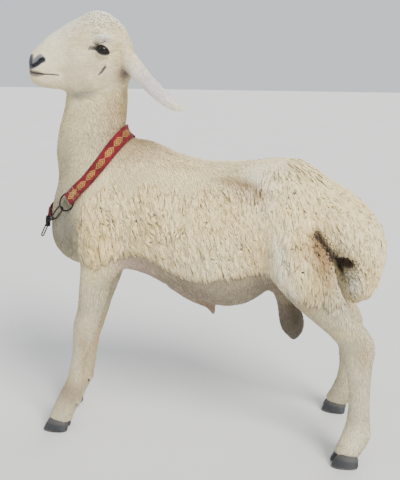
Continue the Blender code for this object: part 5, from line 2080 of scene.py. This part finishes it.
@dataclass(frozen=True)
class EyeFinish:
    """A dark brown iris with a level slot of a pupil, under a wet clear cornea."""

    iris: Colour = (0.01, 0.006, 0.0045)
    rim: Colour = (0.01, 0.007, 0.006)
    iris_reach: float = 0.0118
    slot: tuple[float, float] = (0.0062, 0.0026)

    def material(self) -> Material:
        """The iris is drawn by lengths along and across the ball.

        Returns:
            The material.
        """
        material, paint = new_material("wet_eye")
        gaze = paint.add("ShaderNodeSeparateXYZ", {0: paint.value("gaze", "Vector")})
        along, above = gaze.outputs[0], gaze.outputs[1]
        reach = paint.value("reach")
        spin = paint.maths("ARCTAN2", above, along)
        fibre = paint.add("ShaderNodeCombineXYZ", {0: paint.times(spin, 9.0),
                                                   1: paint.times(reach, 240.0)})
        streak = paint.noise(fibre.outputs[0], 1.0, 3.0, 0.6)
        iris = paint.mottled(streak, 0.3, 0.7, self.iris, 0.45, 1.7)
        edge = paint.scaled(reach, self.iris_reach - 0.0016, self.iris_reach)
        whole = paint.mix(edge, iris, self.rim)
        across = [paint.maths("POWER", paint.over(paint.absolute(part), half), 3.0)
                  for part, half in zip((along, above), self.slot)]
        pupil = paint.scaled(paint.plus(*across), 1.25, 0.85)
        paint.dress({"Base Color": paint.mix(pupil, whole, (0.002, 0.002, 0.003)),
                     "Roughness": 0.45, "Specular IOR Level": 0.15, "Coat Weight": 0.4,
                     "Coat Roughness": 0.02, "Coat IOR": 1.4})
        return material


@dataclass(frozen=True)
class RimFinish:
    """The wet dark margin of the lids."""

    name: str = "lid_margin"
    tone: Colour = (0.012, 0.009, 0.008)
    roughness: float = 0.38

    def material(self) -> Material:
        """Dark skin with a fine unevenness.

        Returns:
            The material.
        """
        material, paint = new_material(self.name)
        uneven = paint.noise(paint.places(), 700.0, 3.0)
        paint.dress({"Base Color": paint.mottled(uneven, 0.3, 0.7, self.tone, 1.0, 1.9),
                     "Normal": paint.bump(uneven, 0.0003), "Roughness": self.roughness})
        return material


@dataclass
class Eyes:
    """Both eyeballs, the wet margins of their lids and their lashes."""

    rings: int = 30
    spokes: int = 56
    bulge: float = 0.055
    margin: float = 0.00075
    lashes: int = 22
    lash_length: float = 0.0095

    def ball(self, side: int) -> Mesh:
        """One eyeball, with lengths from the middle of the iris stored on it.

        Args:
            side: which eye.

        Returns:
            Its mesh.
        """
        out, ahead, rise = LIDS.axes(side)
        level = unit(np.array((ahead[0], ahead[1], 0.0)))
        level = unit(level - out * (level @ out))
        over = unit(rise - out * (rise @ out) - level * (rise @ level))
        rings, places = [], []
        for i in range(1, self.rings):
            turn = math.pi * i / self.rings
            radius = LIDS.radius * (1 + self.bulge * float(smooth(0.85, 0.25, turn)))
            ring = []
            for k in range(self.spokes):
                spin = 2 * math.pi * k / self.spokes
                way = (out * math.cos(turn)
                       + (level * math.cos(spin) + over * math.sin(spin)) * math.sin(turn))
                ring.append(HEAD.eyes[side] + way * radius)
                places.append((turn * LIDS.radius * math.cos(spin),
                               turn * LIDS.radius * math.sin(spin), 0.0))
            rings.append(ring)
        places = np.array([*places, (0.0, 0.0, 0.0), (math.pi * LIDS.radius, 0.0, 0.0)])
        return shell(f"eyeball_{SIDES[side]}", rings,
                     {"gaze": places, "reach": np.linalg.norm(places, axis=1)})

    def rim(self, side: int) -> Mesh:
        """The margin round the slit."""
        points, ways = LIDS.rim(side)
        return tube("rim", points + ways * 0.0012, [self.margin] * len(points), 8, looped=True)

    def lash_row(self, side: int) -> list[Mesh]:
        """Lashes along the upper lid.

        Args:
            side: which eye.

        Returns:
            Their meshes.
        """
        draw = np.random.default_rng(5 + side)
        points, ways = LIDS.rim(side, 200)
        _, _, rise = LIDS.axes(side)
        meshes = []
        for k in np.linspace(14, 86, self.lashes).astype(int):
            start = points[k] + ways[k] * 0.0018
            lean = unit(0.75 * ways[k] + 0.55 * rise + draw.normal(0, 0.1, 3))
            length = self.lash_length * draw.uniform(0.75, 1.0)
            path = [start + lean * length * t - np.array((0, 0, 1.0)) * length * 0.35 * t * t
                    for t in np.linspace(0, 1, 5)]
            meshes.append(tube("lash", np.array(path), [2.4e-4, 2.2e-4, 1.8e-4, 1.2e-4, 4e-5], 3))
        return meshes

    def build(self) -> None:
        """Builds and dresses both eyes."""
        ball_finish, rim_finish = EyeFinish().material(), RimFinish().material()
        lash_finish = RimFinish("lash", (0.2, 0.16, 0.12), 0.5).material()
        for side, name in SIDES.items():
            piece(f"eyeball_{name}", self.ball(side), ball_finish, "eye", f"eye_{name}")
            piece(f"lid_margin_{name}", self.rim(side), rim_finish, "bare_skin")
            lashes = joined(self.lash_row(side), f"lashes_{name}")
            smooth_shaded(lashes)
            piece(f"lashes_{name}", lashes, lash_finish, "face_hair")


# ---------------------------------------------------------------- the hooves

@dataclass(frozen=True)
class HornFinish:
    """Slate horn with growth rings, paler streaks, and wear and dust at its ground edge."""

    slate: Colour = (0.024, 0.026, 0.029)
    dust: Colour = (0.13, 0.112, 0.092)

    def material(self) -> Material:
        """Rings follow the height of each claw.

        Returns:
            The material.
        """
        material, paint = new_material("hoof_horn")
        level = paint.value("level")
        drift = paint.noise(paint.places(), 60.0, 3.0)
        wavy = paint.plus(paint.times(level, 62.0), paint.times(drift, 3.5))
        rings = paint.maths("SINE", wavy)
        grain = paint.noise(paint.places((900, 900, 110)), 1.0, 3.0)
        base = paint.mottled(grain, 0.3, 0.75, self.slate, 0.55, 1.9)
        high = paint.mix(paint.scaled(level, 0.7, 1.0, 0.0, 0.35), base, (0.13, 0.115, 0.1))
        soiled = paint.times(paint.scaled(level, 0.3, 0.0), paint.scaled(drift, 0.35, 0.65))
        paint.dress({"Base Color": paint.mix(soiled, high, self.dust),
                     "Roughness": paint.scaled(grain, 0.2, 0.8, 0.36, 0.62),
                     "Normal": paint.bump(grain, 0.0004, paint.bump(rings, 0.00035))})
        return material


@dataclass
class Hooves:
    """Two claws on each foot, with the dewclaws behind the fetlock."""

    length: float = 0.066
    width: float = 0.029
    height: float = 0.034
    heel: float = 0.024
    cleft: float = 0.0036
    sides: int = 40
    rise_in_skin: float = 0.3
    dew_share: float = 0.66
    tuck: float = 0.004
    fore: Place = (-0.4061, -0.1115, math.radians(4))
    hind: Place = (0.3799, -0.1395, math.radians(6))
    ahead: tuple[float, float] = (-0.015, -0.03)  # of the right fore and hind feet
    drawn_in: tuple[float, float] = (0.084, 0.0)

    def foot(self, limb: str, side: int) -> Matrix:
        """The frame of a foot: +X to the toe, +Y to the outside, on the floor.

        Args:
            limb: fore or hind.
            side: which side.

        Returns:
            The frame.
        """
        x, y, turn = self.fore if limb == "fore" else self.hind
        if side == RIGHT:
            x += self.ahead[limb == "hind"]
            y += self.drawn_in[limb == "hind"]
        toe = Vector((-math.cos(turn), side * math.sin(turn), 0))
        outside = Vector((0, 0, 1)).cross(toe) * -side
        axes = Matrix((toe, outside, Vector((0, 0, 1)))).transposed().to_4x4()
        return Matrix.Translation((x, abs(y) * side, 0)) @ axes

    def ring(self, level: float, place: int, foot: Matrix) -> list[Vector]:
        """One level of a claw.

        Args:
            level: from 0 at the ground to 1 at the hair, and on into the skin.
            place: 1 for the outer claw and -1 for the inner.
            foot: the foot's frame.

        Returns:
            The level's points.
        """
        length = float(np.interp(level, (0, 0.03, 0.25, 1.0, 1.3), (0.955, 1.0, 1.0, 0.8, 0.55)))
        shift = float(np.interp(level, (0, 0.25, 1.0, 1.3), (0, -0.0015, -0.0075, -0.011)))
        width = float(np.interp(level, (0, 0.03, 0.25, 1.0, 1.3), (0.9, 0.965, 1.0, 0.9, 0.62)))
        swell = 1 + 0.012 * math.sin(34 * level) * float(smooth(0.0, 0.15, level))
        points = []
        for i in range(self.sides):
            angle = 2 * math.pi * i / self.sides
            cosine, sine = math.cos(angle), math.sin(angle)
            x = math.copysign(abs(cosine) ** 0.85, cosine)
            x = shift + 0.5 * self.length * length * swell * x
            square = 0.8 if sine >= 0 else 0.42
            y = 0.5 * self.width * width * swell * math.copysign(abs(sine) ** square, sine)
            y *= 1 - 0.3 * max(0.0, cosine) ** 2 * (1 if sine >= 0 else 0.2)
            y += 0.5 * (self.width + self.cleft)
            share = x / self.length + 0.5
            top = self.heel + (self.height - self.heel) * share
            points.append(foot @ Vector((x, y * place, max(level * top, 0.0))))
        return points

    def claw(self, limb: str, side: int, place: int) -> Mesh:
        """One claw with its heights stored on it.

        Args:
            limb: fore or hind.
            side: which side.
            place: 1 for the outer claw and -1 for the inner.

        Returns:
            Its mesh.
        """
        levels = [0.0, 0.03, *np.linspace(0.07, 1.0, 15), 1.15, 1.0 + self.rise_in_skin]
        foot = self.foot(limb, side)
        heights = [level for level in levels for _ in range(self.sides)] + [0.0, levels[-1]]
        return shell("claw", [self.ring(level, place, foot) for level in levels],
                     {"level": np.array(heights)})

    def dewclaw(self, node: str) -> Mesh:
        """A short blunt horn where the solid has it.

        Args:
            node: the solid.

        Returns:
            Its mesh.
        """
        low, high = (np.array(corner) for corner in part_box(node))
        middle, half = (low + high) / 2 - (self.tuck, 0, 0), 0.5 * self.dew_share * (high - low)
        rings, heights = [], []
        for i in range(1, 12):
            turn = math.pi * i / 12
            bend = 1 + 0.1 * math.sin(6.4 * turn)
            rings.append([middle + half * (math.sin(turn) * math.cos(a) * bend,
                                           math.sin(turn) * math.sin(a) * bend,
                                           -math.cos(turn) * 1.02)
                          for a in 2 * np.pi * np.arange(20) / 20])
            heights += [i / 12] * 20
        return shell("dewclaw", rings, {"level": np.array(heights + [0.0, 1.0])})

    def build(self) -> None:
        """Builds and dresses every claw."""
        finish = HornFinish().material()
        for limb in ("fore", "hind"):
            for side, hand in SIDES.items():
                for place, spot in ((-1, "inner"), (1, "outer")):
                    node = f"{limb}_{hand}_{spot}"
                    piece(f"hoof_{node}", self.claw(limb, side, place), finish, "horn",
                          f"claw_{node}")
                    piece(f"dewhorn_{node}", self.dewclaw(f"dewclaw_{node}"), finish, "horn",
                          f"dewclaw_{node}")


# ---------------------------------------------------------------- the collar

@dataclass(frozen=True)
class WebbingFinish:
    """Red woven webbing with a gold motif of diamonds and chevrons along its middle."""

    red: Colour = (0.185, 0.0065, 0.014)
    gold: Colour = (0.5, 0.285, 0.055)
    width: float = 0.035
    period: float = 0.037
    band: float = 0.235  # half the motif's height, as a share of the width
    thread: float = 0.0011

    def motif(self, paint: Paint, along: Socket, across: Socket) -> Socket:
        """1 on the gold threads and 0 on the red ones.

        Args:
            paint: the material's nodes.
            along: lengths along the strap.
            across: lengths across it.

        Returns:
            The number.
        """
        share = paint.maths("FRACT", paint.over(along, self.period))
        run = paint.times(paint.absolute(paint.minus(share, 0.5)), 2.0)
        rise = paint.over(paint.absolute(across), self.band * self.width)
        total = paint.plus(run, paint.times(rise, 0.62))
        soft = 0.025
        whole = paint.scaled(total, 0.6 + soft, 0.6 - soft)
        hole = paint.scaled(total, 0.36 - soft, 0.36 + soft)
        core = paint.scaled(total, 0.2 + soft, 0.2 - soft)
        chevron = paint.scaled(paint.absolute(paint.minus(total, 0.88)), 0.1 + soft, 0.1 - soft)
        parts = paint.plus(paint.times(whole, hole), core)
        parts = paint.plus(parts, chevron, use_clamp=True)
        return paint.times(parts, paint.scaled(rise, 1.0 + soft, 1.0 - soft))

    def material(self) -> Material:
        """The weave follows lengths along and across the strap.

        Returns:
            The material.
        """
        material, paint = new_material("red_webbing")
        along, across = paint.value("along"), paint.value("across")
        turn = 2 * math.pi / self.thread
        warp = paint.maths("SINE", paint.times(across, turn))
        row = paint.times(along, 0.5 * turn)
        weft = paint.maths("SINE", paint.plus(row, paint.times(warp, 1.3)))
        weave = paint.plus(paint.times(warp, 0.5), paint.times(weft, 0.5))
        gold = self.motif(paint, along, across)
        fade = paint.noise(paint.places(), 45.0, 4.0, 0.6)
        red = paint.mottled(fade, 0.3, 0.75, self.red, 0.72, 1.28)
        yellow = paint.mottled(fade, 0.35, 0.7, self.gold, 0.7, 1.2)
        cloth = paint.mix(gold, red, yellow)
        rise = paint.over(paint.absolute(across), 0.5 * self.width)
        worn = paint.times(paint.scaled(rise, 0.93, 1.0, 0.0, 0.25), paint.scaled(fade, 0.35, 0.6))
        cloth = paint.mix(worn, cloth, (0.55, 0.3, 0.27))
        cloth = paint.mix(paint.scaled(rise, 0.8, 0.97, 0.0, 0.45), cloth, (0.06, 0.004, 0.007))
        shade = paint.scaled(weave, -1.0, 1.0, 0.74, 1.1)
        raised = paint.plus(weave, paint.times(gold, 1.2))
        paint.dress({"Base Color": paint.shaded(cloth, shade),
                     "Roughness": paint.scaled(gold, 0.0, 1.0, 0.72, 0.5),
                     "Normal": paint.bump(raised, 0.0003), "Sheen Weight": 0.06,
                     "Specular IOR Level": 0.25})
        return material


@dataclass(frozen=True)
class MetalFinish:
    """Dark metal, worn brighter in places."""

    name: str
    tone: Colour = (0.024, 0.023, 0.024)
    bright: Colour = (0.17, 0.16, 0.15)
    wear: float = 0.4

    def material(self) -> Material:
        """Worn and grimy in patches.

        Returns:
            The material.
        """
        material, paint = new_material(self.name)
        patch = paint.noise(paint.places(), 160.0, 5.0, 0.6)
        scratch = paint.noise(paint.places((2200, 300, 300)), 1.0, 2.0)
        worn = paint.times(paint.scaled(patch, 0.46, 0.66), self.wear)
        paint.dress({"Base Color": paint.mix(worn, self.tone, self.bright),
                     "Roughness": paint.scaled(patch, 0.3, 0.7, 0.6, 0.4),
                     "Normal": paint.bump(scratch, 0.00008), "Metallic": 1.0})
        return material


@dataclass(frozen=True)
class ThreadFinish:
    """Waxed thread."""

    tone: Colour = (0.6, 0.42, 0.2)

    def material(self) -> Material:
        """Twisted ply.

        Returns:
            The material.
        """
        material, paint = new_material("thread")
        ply = paint.noise(paint.places((1500, 1500, 1500)), 1.0, 2.0)
        paint.dress({"Base Color": paint.mottled(ply, 0.3, 0.7, self.tone, 0.6, 1.0),
                     "Normal": paint.bump(ply, 0.0003), "Roughness": 0.6})
        return material


@dataclass
class Stitching:
    """Geometry Nodes that set stitches at even steps along sewn lines."""

    material: Material
    step: float = 0.004
    length: float = 0.0029
    thickness: float = 0.00042

    def build(self) -> Tree:
        """Builds the tree and its named inputs.

        Returns:
            The tree.
        """
        graph = Graph(bpy.data.node_groups.new("stitches_on_line", "GeometryNodeTree"))
        ask = graph.ask({"Step": "Float", "Length": "Float", "Thickness": "Float",
                         "Finish": "Material"})
        line = graph.add("GeometryNodeMeshToCurve", {0: ask("Geometry")})
        points = graph.add("GeometryNodeCurveToPoints",
                           {"Curve": line.outputs[0], "Length": ask("Step")}, mode="LENGTH")
        stitch = graph.add("GeometryNodeMeshIcoSphere", {"Radius": 1.0, "Subdivisions": 2})
        size = graph.add("ShaderNodeCombineXYZ", {
            0: ask("Thickness"), 1: ask("Thickness"),
            2: graph.maths("MULTIPLY", ask("Length"), 0.5)})
        placed = graph.add("GeometryNodeInstanceOnPoints", {
            "Points": points.outputs[0], "Instance": stitch.outputs[0],
            "Rotation": graph.out(points, "Rotation"), "Scale": size.outputs[0]})
        real = graph.add("GeometryNodeRealizeInstances", {0: placed.outputs[0]})
        dressed = graph.add("GeometryNodeSetMaterial",
                            {"Geometry": real.outputs[0], "Material": ask("Finish")})
        graph.add("NodeGroupOutput", {0: dressed.outputs[0]})
        return graph.tree

    def sewn(self, name: str, lines: Sequence[Sequence]) -> Object:
        """Stitches along every line.

        Args:
            name: what to call them.
            lines: rows of points.

        Returns:
            Their object.
        """
        points = [tuple(map(float, p)) for line in lines for p in line]
        edges, start = [], 0
        for line in lines:
            edges += [(start + i, start + i + 1) for i in range(len(line) - 1)]
            start += len(line)
        mesh = bpy.data.meshes.new("sewn_lines")
        mesh.from_pydata(points, edges, [])
        helper = make_object("sewn_lines", mesh)
        made = run_nodes(helper, self.build(), {"Step": self.step, "Length": self.length,
                                                "Thickness": self.thickness,
                                                "Finish": self.material})
        discard(helper)
        smooth_shaded(made)
        return make_object(name, made)


@dataclass
class Strap:
    """The webbing, laid where its solid lies, with both ends folded back and sewn down."""

    width: float = 0.035
    thickness: float = 0.0023
    stations: int = 220
    columns: int = 12
    fold: float = 0.04
    eye: float = 0.0022  # half the room left for the wire inside a fold
    probe: float = 0.04  # how far out the solid's face is looked for
    route: tuple = ((-0.3321, -0.105, 0.6525), (-0.3141, -0.1066, 0.6728),
                    (-0.2851, -0.1021, 0.7063), (-0.2553, -0.0848, 0.7448),
                    (-0.2292, -0.0557, 0.7839), (-0.2161, -0.026, 0.8054),
                    (-0.2111, 0.0, 0.812), (-0.2161, 0.026, 0.8054),
                    (-0.2292, 0.0557, 0.7839), (-0.2553, 0.0848, 0.7448),
                    (-0.2851, 0.1021, 0.7063), (-0.3231, 0.107, 0.676),
                    (-0.3691, 0.092, 0.648), (-0.4061, 0.052, 0.632),
                    (-0.4191, 0.012, 0.616), (-0.4201, -0.024, 0.602),
                    (-0.4071, -0.064, 0.586))

    def laid(self) -> tuple[Array, Array]:
        """The webbing's middle surface, row by row, and each row's way out.

        Returns:
            The rows of points, and each row's way out.
        """
        mesh = solid_copy("collar_strap")
        tree = tree_of(mesh)
        centres = np.array([p.center for p in mesh.polygons])
        normals = np.array([p.normal for p in mesh.polygons])
        areas = np.array([p.area for p in mesh.polygons])
        path = resampled(through(self.route, 12), self.stations)
        middle = path.mean(axis=0)
        outward = []
        for point in path:
            near = np.exp(-(np.linalg.norm(centres - point, axis=1) / 0.016) ** 2) * areas
            facing = np.clip(normals @ unit(point - middle) - 0.25, 0, 1)
            outward.append(unit(((near * facing)[:, None] * normals).sum(0)))
        outward = np.array(outward)
        for _ in range(10):
            outward[1:-1] = unit(outward[:-2] + 2 * outward[1:-1] + outward[2:])
        along = unit(np.gradient(path, axis=0))
        outward = unit(outward - along * (along * outward).sum(1, keepdims=True))
        across = np.cross(along, outward)
        shares = np.linspace(-0.5, 0.5, self.columns + 1)
        heights = np.full((len(path), len(shares)), np.nan)
        for i, point in enumerate(path):
            for j, share in enumerate(shares):
                start = point + across[i] * (0.94 * self.width * share) + outward[i] * self.probe
                hit = tree.ray_cast(Vector(start), Vector(-outward[i]), 2 * self.probe)
                if hit[0] is not None:
                    heights[i, j] = self.probe - hit[3]
        steps = self.fold_steps(path)
        heights[:steps], heights[-steps:] = heights[steps], heights[-steps - 1]
        for j in range(len(shares)):
            known = np.nonzero(~np.isnan(heights[:, j]))[0]
            heights[:, j] = np.interp(np.arange(len(path)), known, heights[known, j])
        for _ in range(12):
            heights[1:-1] = (heights[:-2] + 2 * heights[1:-1] + heights[2:]) / 4
            heights[:, 1:-1] = (heights[:, :-2] + 4 * heights[:, 1:-1] + heights[:, 2:]) / 6
        rows = (path[:, None] + across[:, None] * (self.width * shares)[None, :, None]
                + outward[:, None] * (heights - 0.6 * self.thickness)[:, :, None])
        return rows, outward

    def fold_steps(self, path: Array) -> int:
        """How many stations a fold covers."""
        whole = np.linalg.norm(np.diff(path, axis=0), axis=1).sum()
        return max(2, round(self.fold / whole * (len(path) - 1)))

    def ends(self, rows: Array) -> tuple[slice, slice]:
        """The stations of both folds, each from the strap's end inwards."""
        steps = self.fold_steps(rows[:, self.columns // 2])
        return slice(0, steps), slice(-1, -steps - 1, -1)

    def folded(self, rows: Array, outward: Array) -> Array:
        """The middle surface with both ends turned back over themselves.

        Args:
            rows: the middle surface, row by row.
            outward: each row's way out.

        Returns:
            The rows from one flap's edge to the other's.
        """
        gap = self.thickness * 1.02
        radius = max(self.eye, 0.5 * gap)
        turned = []
        for end in self.ends(rows):
            inner, ways = rows[end], outward[end]
            ahead = unit(inner[0, self.columns // 2] - inner[2, self.columns // 2])
            flap = []
            for i in range(len(inner) - 1, 1, -1):
                near = float(smooth(0.4 * len(inner), 0.0, i))
                lift = gap + 2 * (self.eye - 0.5 * gap) * max(near, 0)
                flap.append(inner[i] + ways[i] * max(lift, gap))
            for t in np.linspace(0.08, 0.92, 9):
                angle = math.pi * (0.5 - t)
                out = ways[0] * math.sin(angle) + ahead * math.cos(angle)
                flap.append(inner[0] + ways[0] * radius + out * radius)
            turned.append(flap)
        return np.array([*turned[0], *rows, *turned[1][::-1]])

    def build(self) -> None:
        """Builds, dresses and sews the strap."""
        rows, outward = self.laid()
        middles = self.folded(rows, outward)
        centre = middles[:, self.columns // 2]
        along = unit(np.gradient(centre, axis=0))
        across = unit(middles[:, -1] - middles[:, 0])
        normal = unit(np.cross(across, along))
        reach = np.concatenate([[0], np.cumsum(np.linalg.norm(np.diff(centre, axis=0), axis=1))])
        shares = np.linspace(-0.5, 0.5, self.columns + 1) * self.width
        rings, lengthwise, crosswise = [], [], []
        for row, way, run in zip(middles, normal, reach):
            edge = 0.5 * self.thickness * np.sqrt(1 - (0.9 * np.abs(2 * shares / self.width)) ** 8)
            top = row + way * edge[:, None]
            low = row - way * edge[:, None]
            rings.append([*top, *low[::-1]])
            lengthwise += [run] * (2 * len(shares))
            crosswise += [*shares, *shares[::-1]]
        mesh = shell("strap_webbing", rings, {"along": np.array(lengthwise + [0.0, reach[-1]]),
                                              "across": np.array(crosswise + [0.0, 0.0])})
        piece("strap_webbing", mesh, WebbingFinish(width=self.width).material(), "webbing",
              "collar_strap")
        self.sew(rows, outward)

    def sew(self, rows: Array, outward: Array) -> None:
        """Box stitching through both folds.

        Args:
            rows: the middle surface, row by row.
            outward: each row's way out.
        """
        lines = []
        for end in self.ends(rows):
            top = rows[end] + outward[end][:, None] * (1.6 * self.thickness)
            low, high = round(0.3 * len(top)), len(top) - 2
            left, right = 1, self.columns - 1
            lines += [top[low:high, left], top[low:high, right],
                      top[low, left:right + 1], top[high - 1, left:right + 1]]
            run = np.linspace(0, 1, 12)
            for first, last in ((left, right), (right, left)):
                cells = [(low + (high - 1 - low) * t, first + (last - first) * t) for t in run]
                lines.append([top[round(i), round(j)] for i, j in cells])
        sewn = Stitching(ThreadFinish().material()).sewn("strap_stitches", lines)
        finished(sewn, "webbing")


@dataclass
class Fittings:
    """The ring, the snap hook with its gate and swivel, the strap's end and its hanging hook."""

    ring_wire: float = 0.0021
    hook_gate: float = 0.0013

    @staticmethod
    def principal(node: str) -> tuple[Array, Array, Array]:
        """A solid's own axes.

        Args:
            node: the solid.

        Returns:
            Its middle, its axes from longest to shortest, and its reach on them.
        """
        points = coordinates(solid_copy(node))
        _, _, axes = np.linalg.svd(points - points.mean(0), full_matrices=False)
        flat = (points - points.mean(0)) @ axes.T
        middle = points.mean(0) + 0.5 * (flat.min(0) + flat.max(0)) @ axes
        return middle, axes, 0.5 * (flat.max(0) - flat.min(0))

    def ring(self) -> Mesh:
        """The round ring with its welded joint.

        Returns:
            Its mesh.
        """
        middle, axes, half = self.principal("collar_ring")
        radius = half[:2].mean() - self.ring_wire
        angles = 2 * np.pi * np.arange(72) / 72
        path = middle + radius * (np.cos(angles)[:, None] * axes[0]
                                  + np.sin(angles)[:, None] * axes[1])
        weld = 1 + 0.16 * np.exp(-((angles - 2.0) / 0.1) ** 2)
        return tube("ring", path, self.ring_wire * weld, 16, looped=True)

    @staticmethod
    def rounded(node: str) -> Mesh:
        """A solid of wire with its facets rounded off.

        Args:
            node: the solid.

        Returns:
            Its mesh.
        """
        mesh = solid_copy(node, 0.00012)
        with edited(mesh) as bm:
            bmesh.ops.join_triangles(bm, faces=bm.faces, angle_face_threshold=0.7,
                                     angle_shape_threshold=1.0)
        obj = make_object("wire", mesh)
        with_modifier(obj, "SUBSURF", levels=2, render_levels=2)
        made = obj.data
        discard(obj)
        smooth_shaded(made)
        return made

    def gate(self) -> Mesh:
        """The snap hook's spring gate and its thumb stud.

        Returns:
            Their mesh.
        """
        middle, axes, half = self.principal("snap_hook")
        run, side = axes[0] * half[0], axes[1] * (half[1] - self.hook_gate)
        bar = np.array([middle + side + run * t for t in np.linspace(-0.55, 0.6, 12)])
        radii = [self.hook_gate * (1.35 if 0 < i < 11 else 0.8) for i in range(12)]
        stud = np.array([middle + side * t + run * 0.05 for t in (0.98, 1.1, 1.18)])
        return joined([tube("bar", bar, radii, 10),
                       tube("stud", stud, [0.0016, 0.0015, 0.0011], 10)], "gate")

    def barrel(self, node: str) -> Mesh:
        """The turned swivel: a waisted barrel with a collar at each end.

        Args:
            node: the solid.

        Returns:
            Its mesh.
        """
        middle, axes, half = self.principal(node)
        runs = np.linspace(-1, 1, 34)
        radius = 0.5 * (half[1] + half[2])
        profile = radius * (0.8 - 0.16 * np.cos(np.pi * runs)
                            + 0.2 * np.exp(-((np.abs(runs) - 0.82) / 0.1) ** 2))
        profile *= np.sqrt(np.clip(1.0 - np.abs(runs) ** 14, 0.05, 1))
        path = middle + runs[:, None] * axes[0] * half[0] * 0.99
        return tube(node, path, np.minimum(profile, radius * 0.99), 20)

    def block(self, node: str) -> Mesh:
        """The crimped end with rounded corners and two rivets.

        Args:
            node: the solid.

        Returns:
            Its mesh.
        """
        obj = make_object("block", solid_copy(node))
        with_modifier(obj, "BEVEL", width=0.0016, segments=3, limit_method="ANGLE")
        made = obj.data
        discard(obj)
        middle, axes, half = self.principal(node)
        out = axes[2] if axes[2][1] < 0 else -axes[2]
        heads = []
        for t in (-0.5, 0.5):
            spot = middle + axes[0] * half[0] * t
            path = np.array([spot + out * half[2] * s for s in (0.9, 1.0, 1.1, 1.14)])
            heads.append(tube("rivet", path, [0.0024, 0.0024, 0.0018, 0.0009], 16))
        return joined([made, *heads], node)

    def build(self) -> None:
        """Builds and dresses every fitting."""
        dark = MetalFinish("dark_metal").material()
        bright = MetalFinish("worn_steel", (0.05, 0.048, 0.047), (0.24, 0.23, 0.22)).material()
        pieces = (
            ("tether_ring", self.ring(), dark, "collar_ring"),
            ("snap_body", self.rounded("snap_hook"), dark, "snap_hook"),
            ("snap_barrel", self.barrel("snap_swivel"), dark, "snap_swivel"),
            ("end_crimp", self.block("strap_end"), dark, "strap_end"),
            ("spare_hook", self.rounded("hanging_hook"), dark, "hanging_hook"),
            ("snap_gate", self.gate(), bright, None),
        )
        for name, mesh, finish, node in pieces:
            piece(name, mesh, finish, "dark_metal", *([node] if node else []))


# ---------------------------------------------------------------- the studio

@dataclass(frozen=True)
class Lamp:
    """A broad soft light that reaches the ram and the floor alike."""

    name: str
    spot: Place
    spread: float  # how wide it looks from the ram, in degrees
    power: float
    warmth: Colour = (1.0, 0.985, 0.95)


@dataclass
class Studio:
    """The pale floor, the soft lamps, the sky light and the camera."""

    eye: Place = (0.3269, -1.791, 1.06)
    look: Place = (-0.1833, 0.9431, -0.2773)
    lens: float = 54.0
    sensor: float = 36.0
    aim: Place = (-0.0105, 0.0, 0.55)
    reach: float = 12.0
    lamps: tuple[Lamp, ...] = (
        Lamp("key", (1.5, -1.4, 2.5), 26, 4.8),
        Lamp("fill", (-2.4, -1.6, 1.4), 60, 0.35, (0.94, 0.97, 1.0)),
        Lamp("behind", (0.6, 2.4, 1.9), 50, 1.4),
    )

    def floor(self) -> None:
        """A plain pale floor."""
        r = self.reach
        mesh = make_mesh("floor", [(-r, -r, 0), (r, -r, 0), (r, r, 0), (-r, r, 0)], [(0, 1, 2, 3)])
        material, paint = new_material("pale_floor")
        cloud = paint.noise(paint.places(), 1.7, 3.0)
        paint.dress({"Base Color": paint.mix(cloud, (0.6, 0.6, 0.585), (0.66, 0.655, 0.64)),
                     "Roughness": 0.85})
        mesh.materials.append(material)
        make_object("floor", mesh)

    @staticmethod
    def aimed(spot: Sequence[float], way: Vector) -> Matrix:
        """The place of something at a spot that looks along a way."""
        return Matrix.Translation(spot) @ way.to_track_quat("-Z", "Y").to_matrix().to_4x4()

    def build(self) -> None:
        """Sets up floor, lamps, sky and camera."""
        self.floor()
        for lamp in self.lamps:
            light = bpy.data.lights.new(lamp.name, "SUN")
            light.angle, light.energy = math.radians(lamp.spread), lamp.power
            light.color = lamp.warmth
            obj = make_object(lamp.name, light)
            obj.matrix_world = self.aimed(lamp.spot, Vector(self.aim) - Vector(lamp.spot))
        world = bpy.data.worlds.new("sky")
        world.use_nodes = True
        sky = world.node_tree.nodes["Background"]
        sky.inputs["Color"].default_value = (0.9, 0.94, 1.0, 1.0)
        sky.inputs["Strength"].default_value = 0.9
        bpy.context.scene.world = world
        camera = bpy.data.cameras.new("camera")
        camera.lens, camera.sensor_width = self.lens, self.sensor
        camera.clip_start, camera.clip_end = 0.05, 60.0
        obj = make_object("camera", camera)
        obj.matrix_world = self.aimed(self.eye, Vector(self.look))
        bpy.context.scene.camera = obj


def main() -> None:
    """Builds every piece."""
    logging.basicConfig(level=logging.INFO, format="%(name)s: %(message)s")
    began = time.perf_counter()
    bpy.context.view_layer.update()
    Studio().build()
    skin = Skin()
    body = skin.build()
    body.data.materials.append(HideFinish().material())
    Coat(body, skin.fields, skin.parts).grow()
    finished(body, "wool", *FLESH, *EARS)
    Eyes().build()
    Hooves().build()
    Strap().build()
    Fittings().build()
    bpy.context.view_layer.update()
    log.info("built in %.1f s", time.perf_counter() - began)


if __name__ == "__main__":
    main()
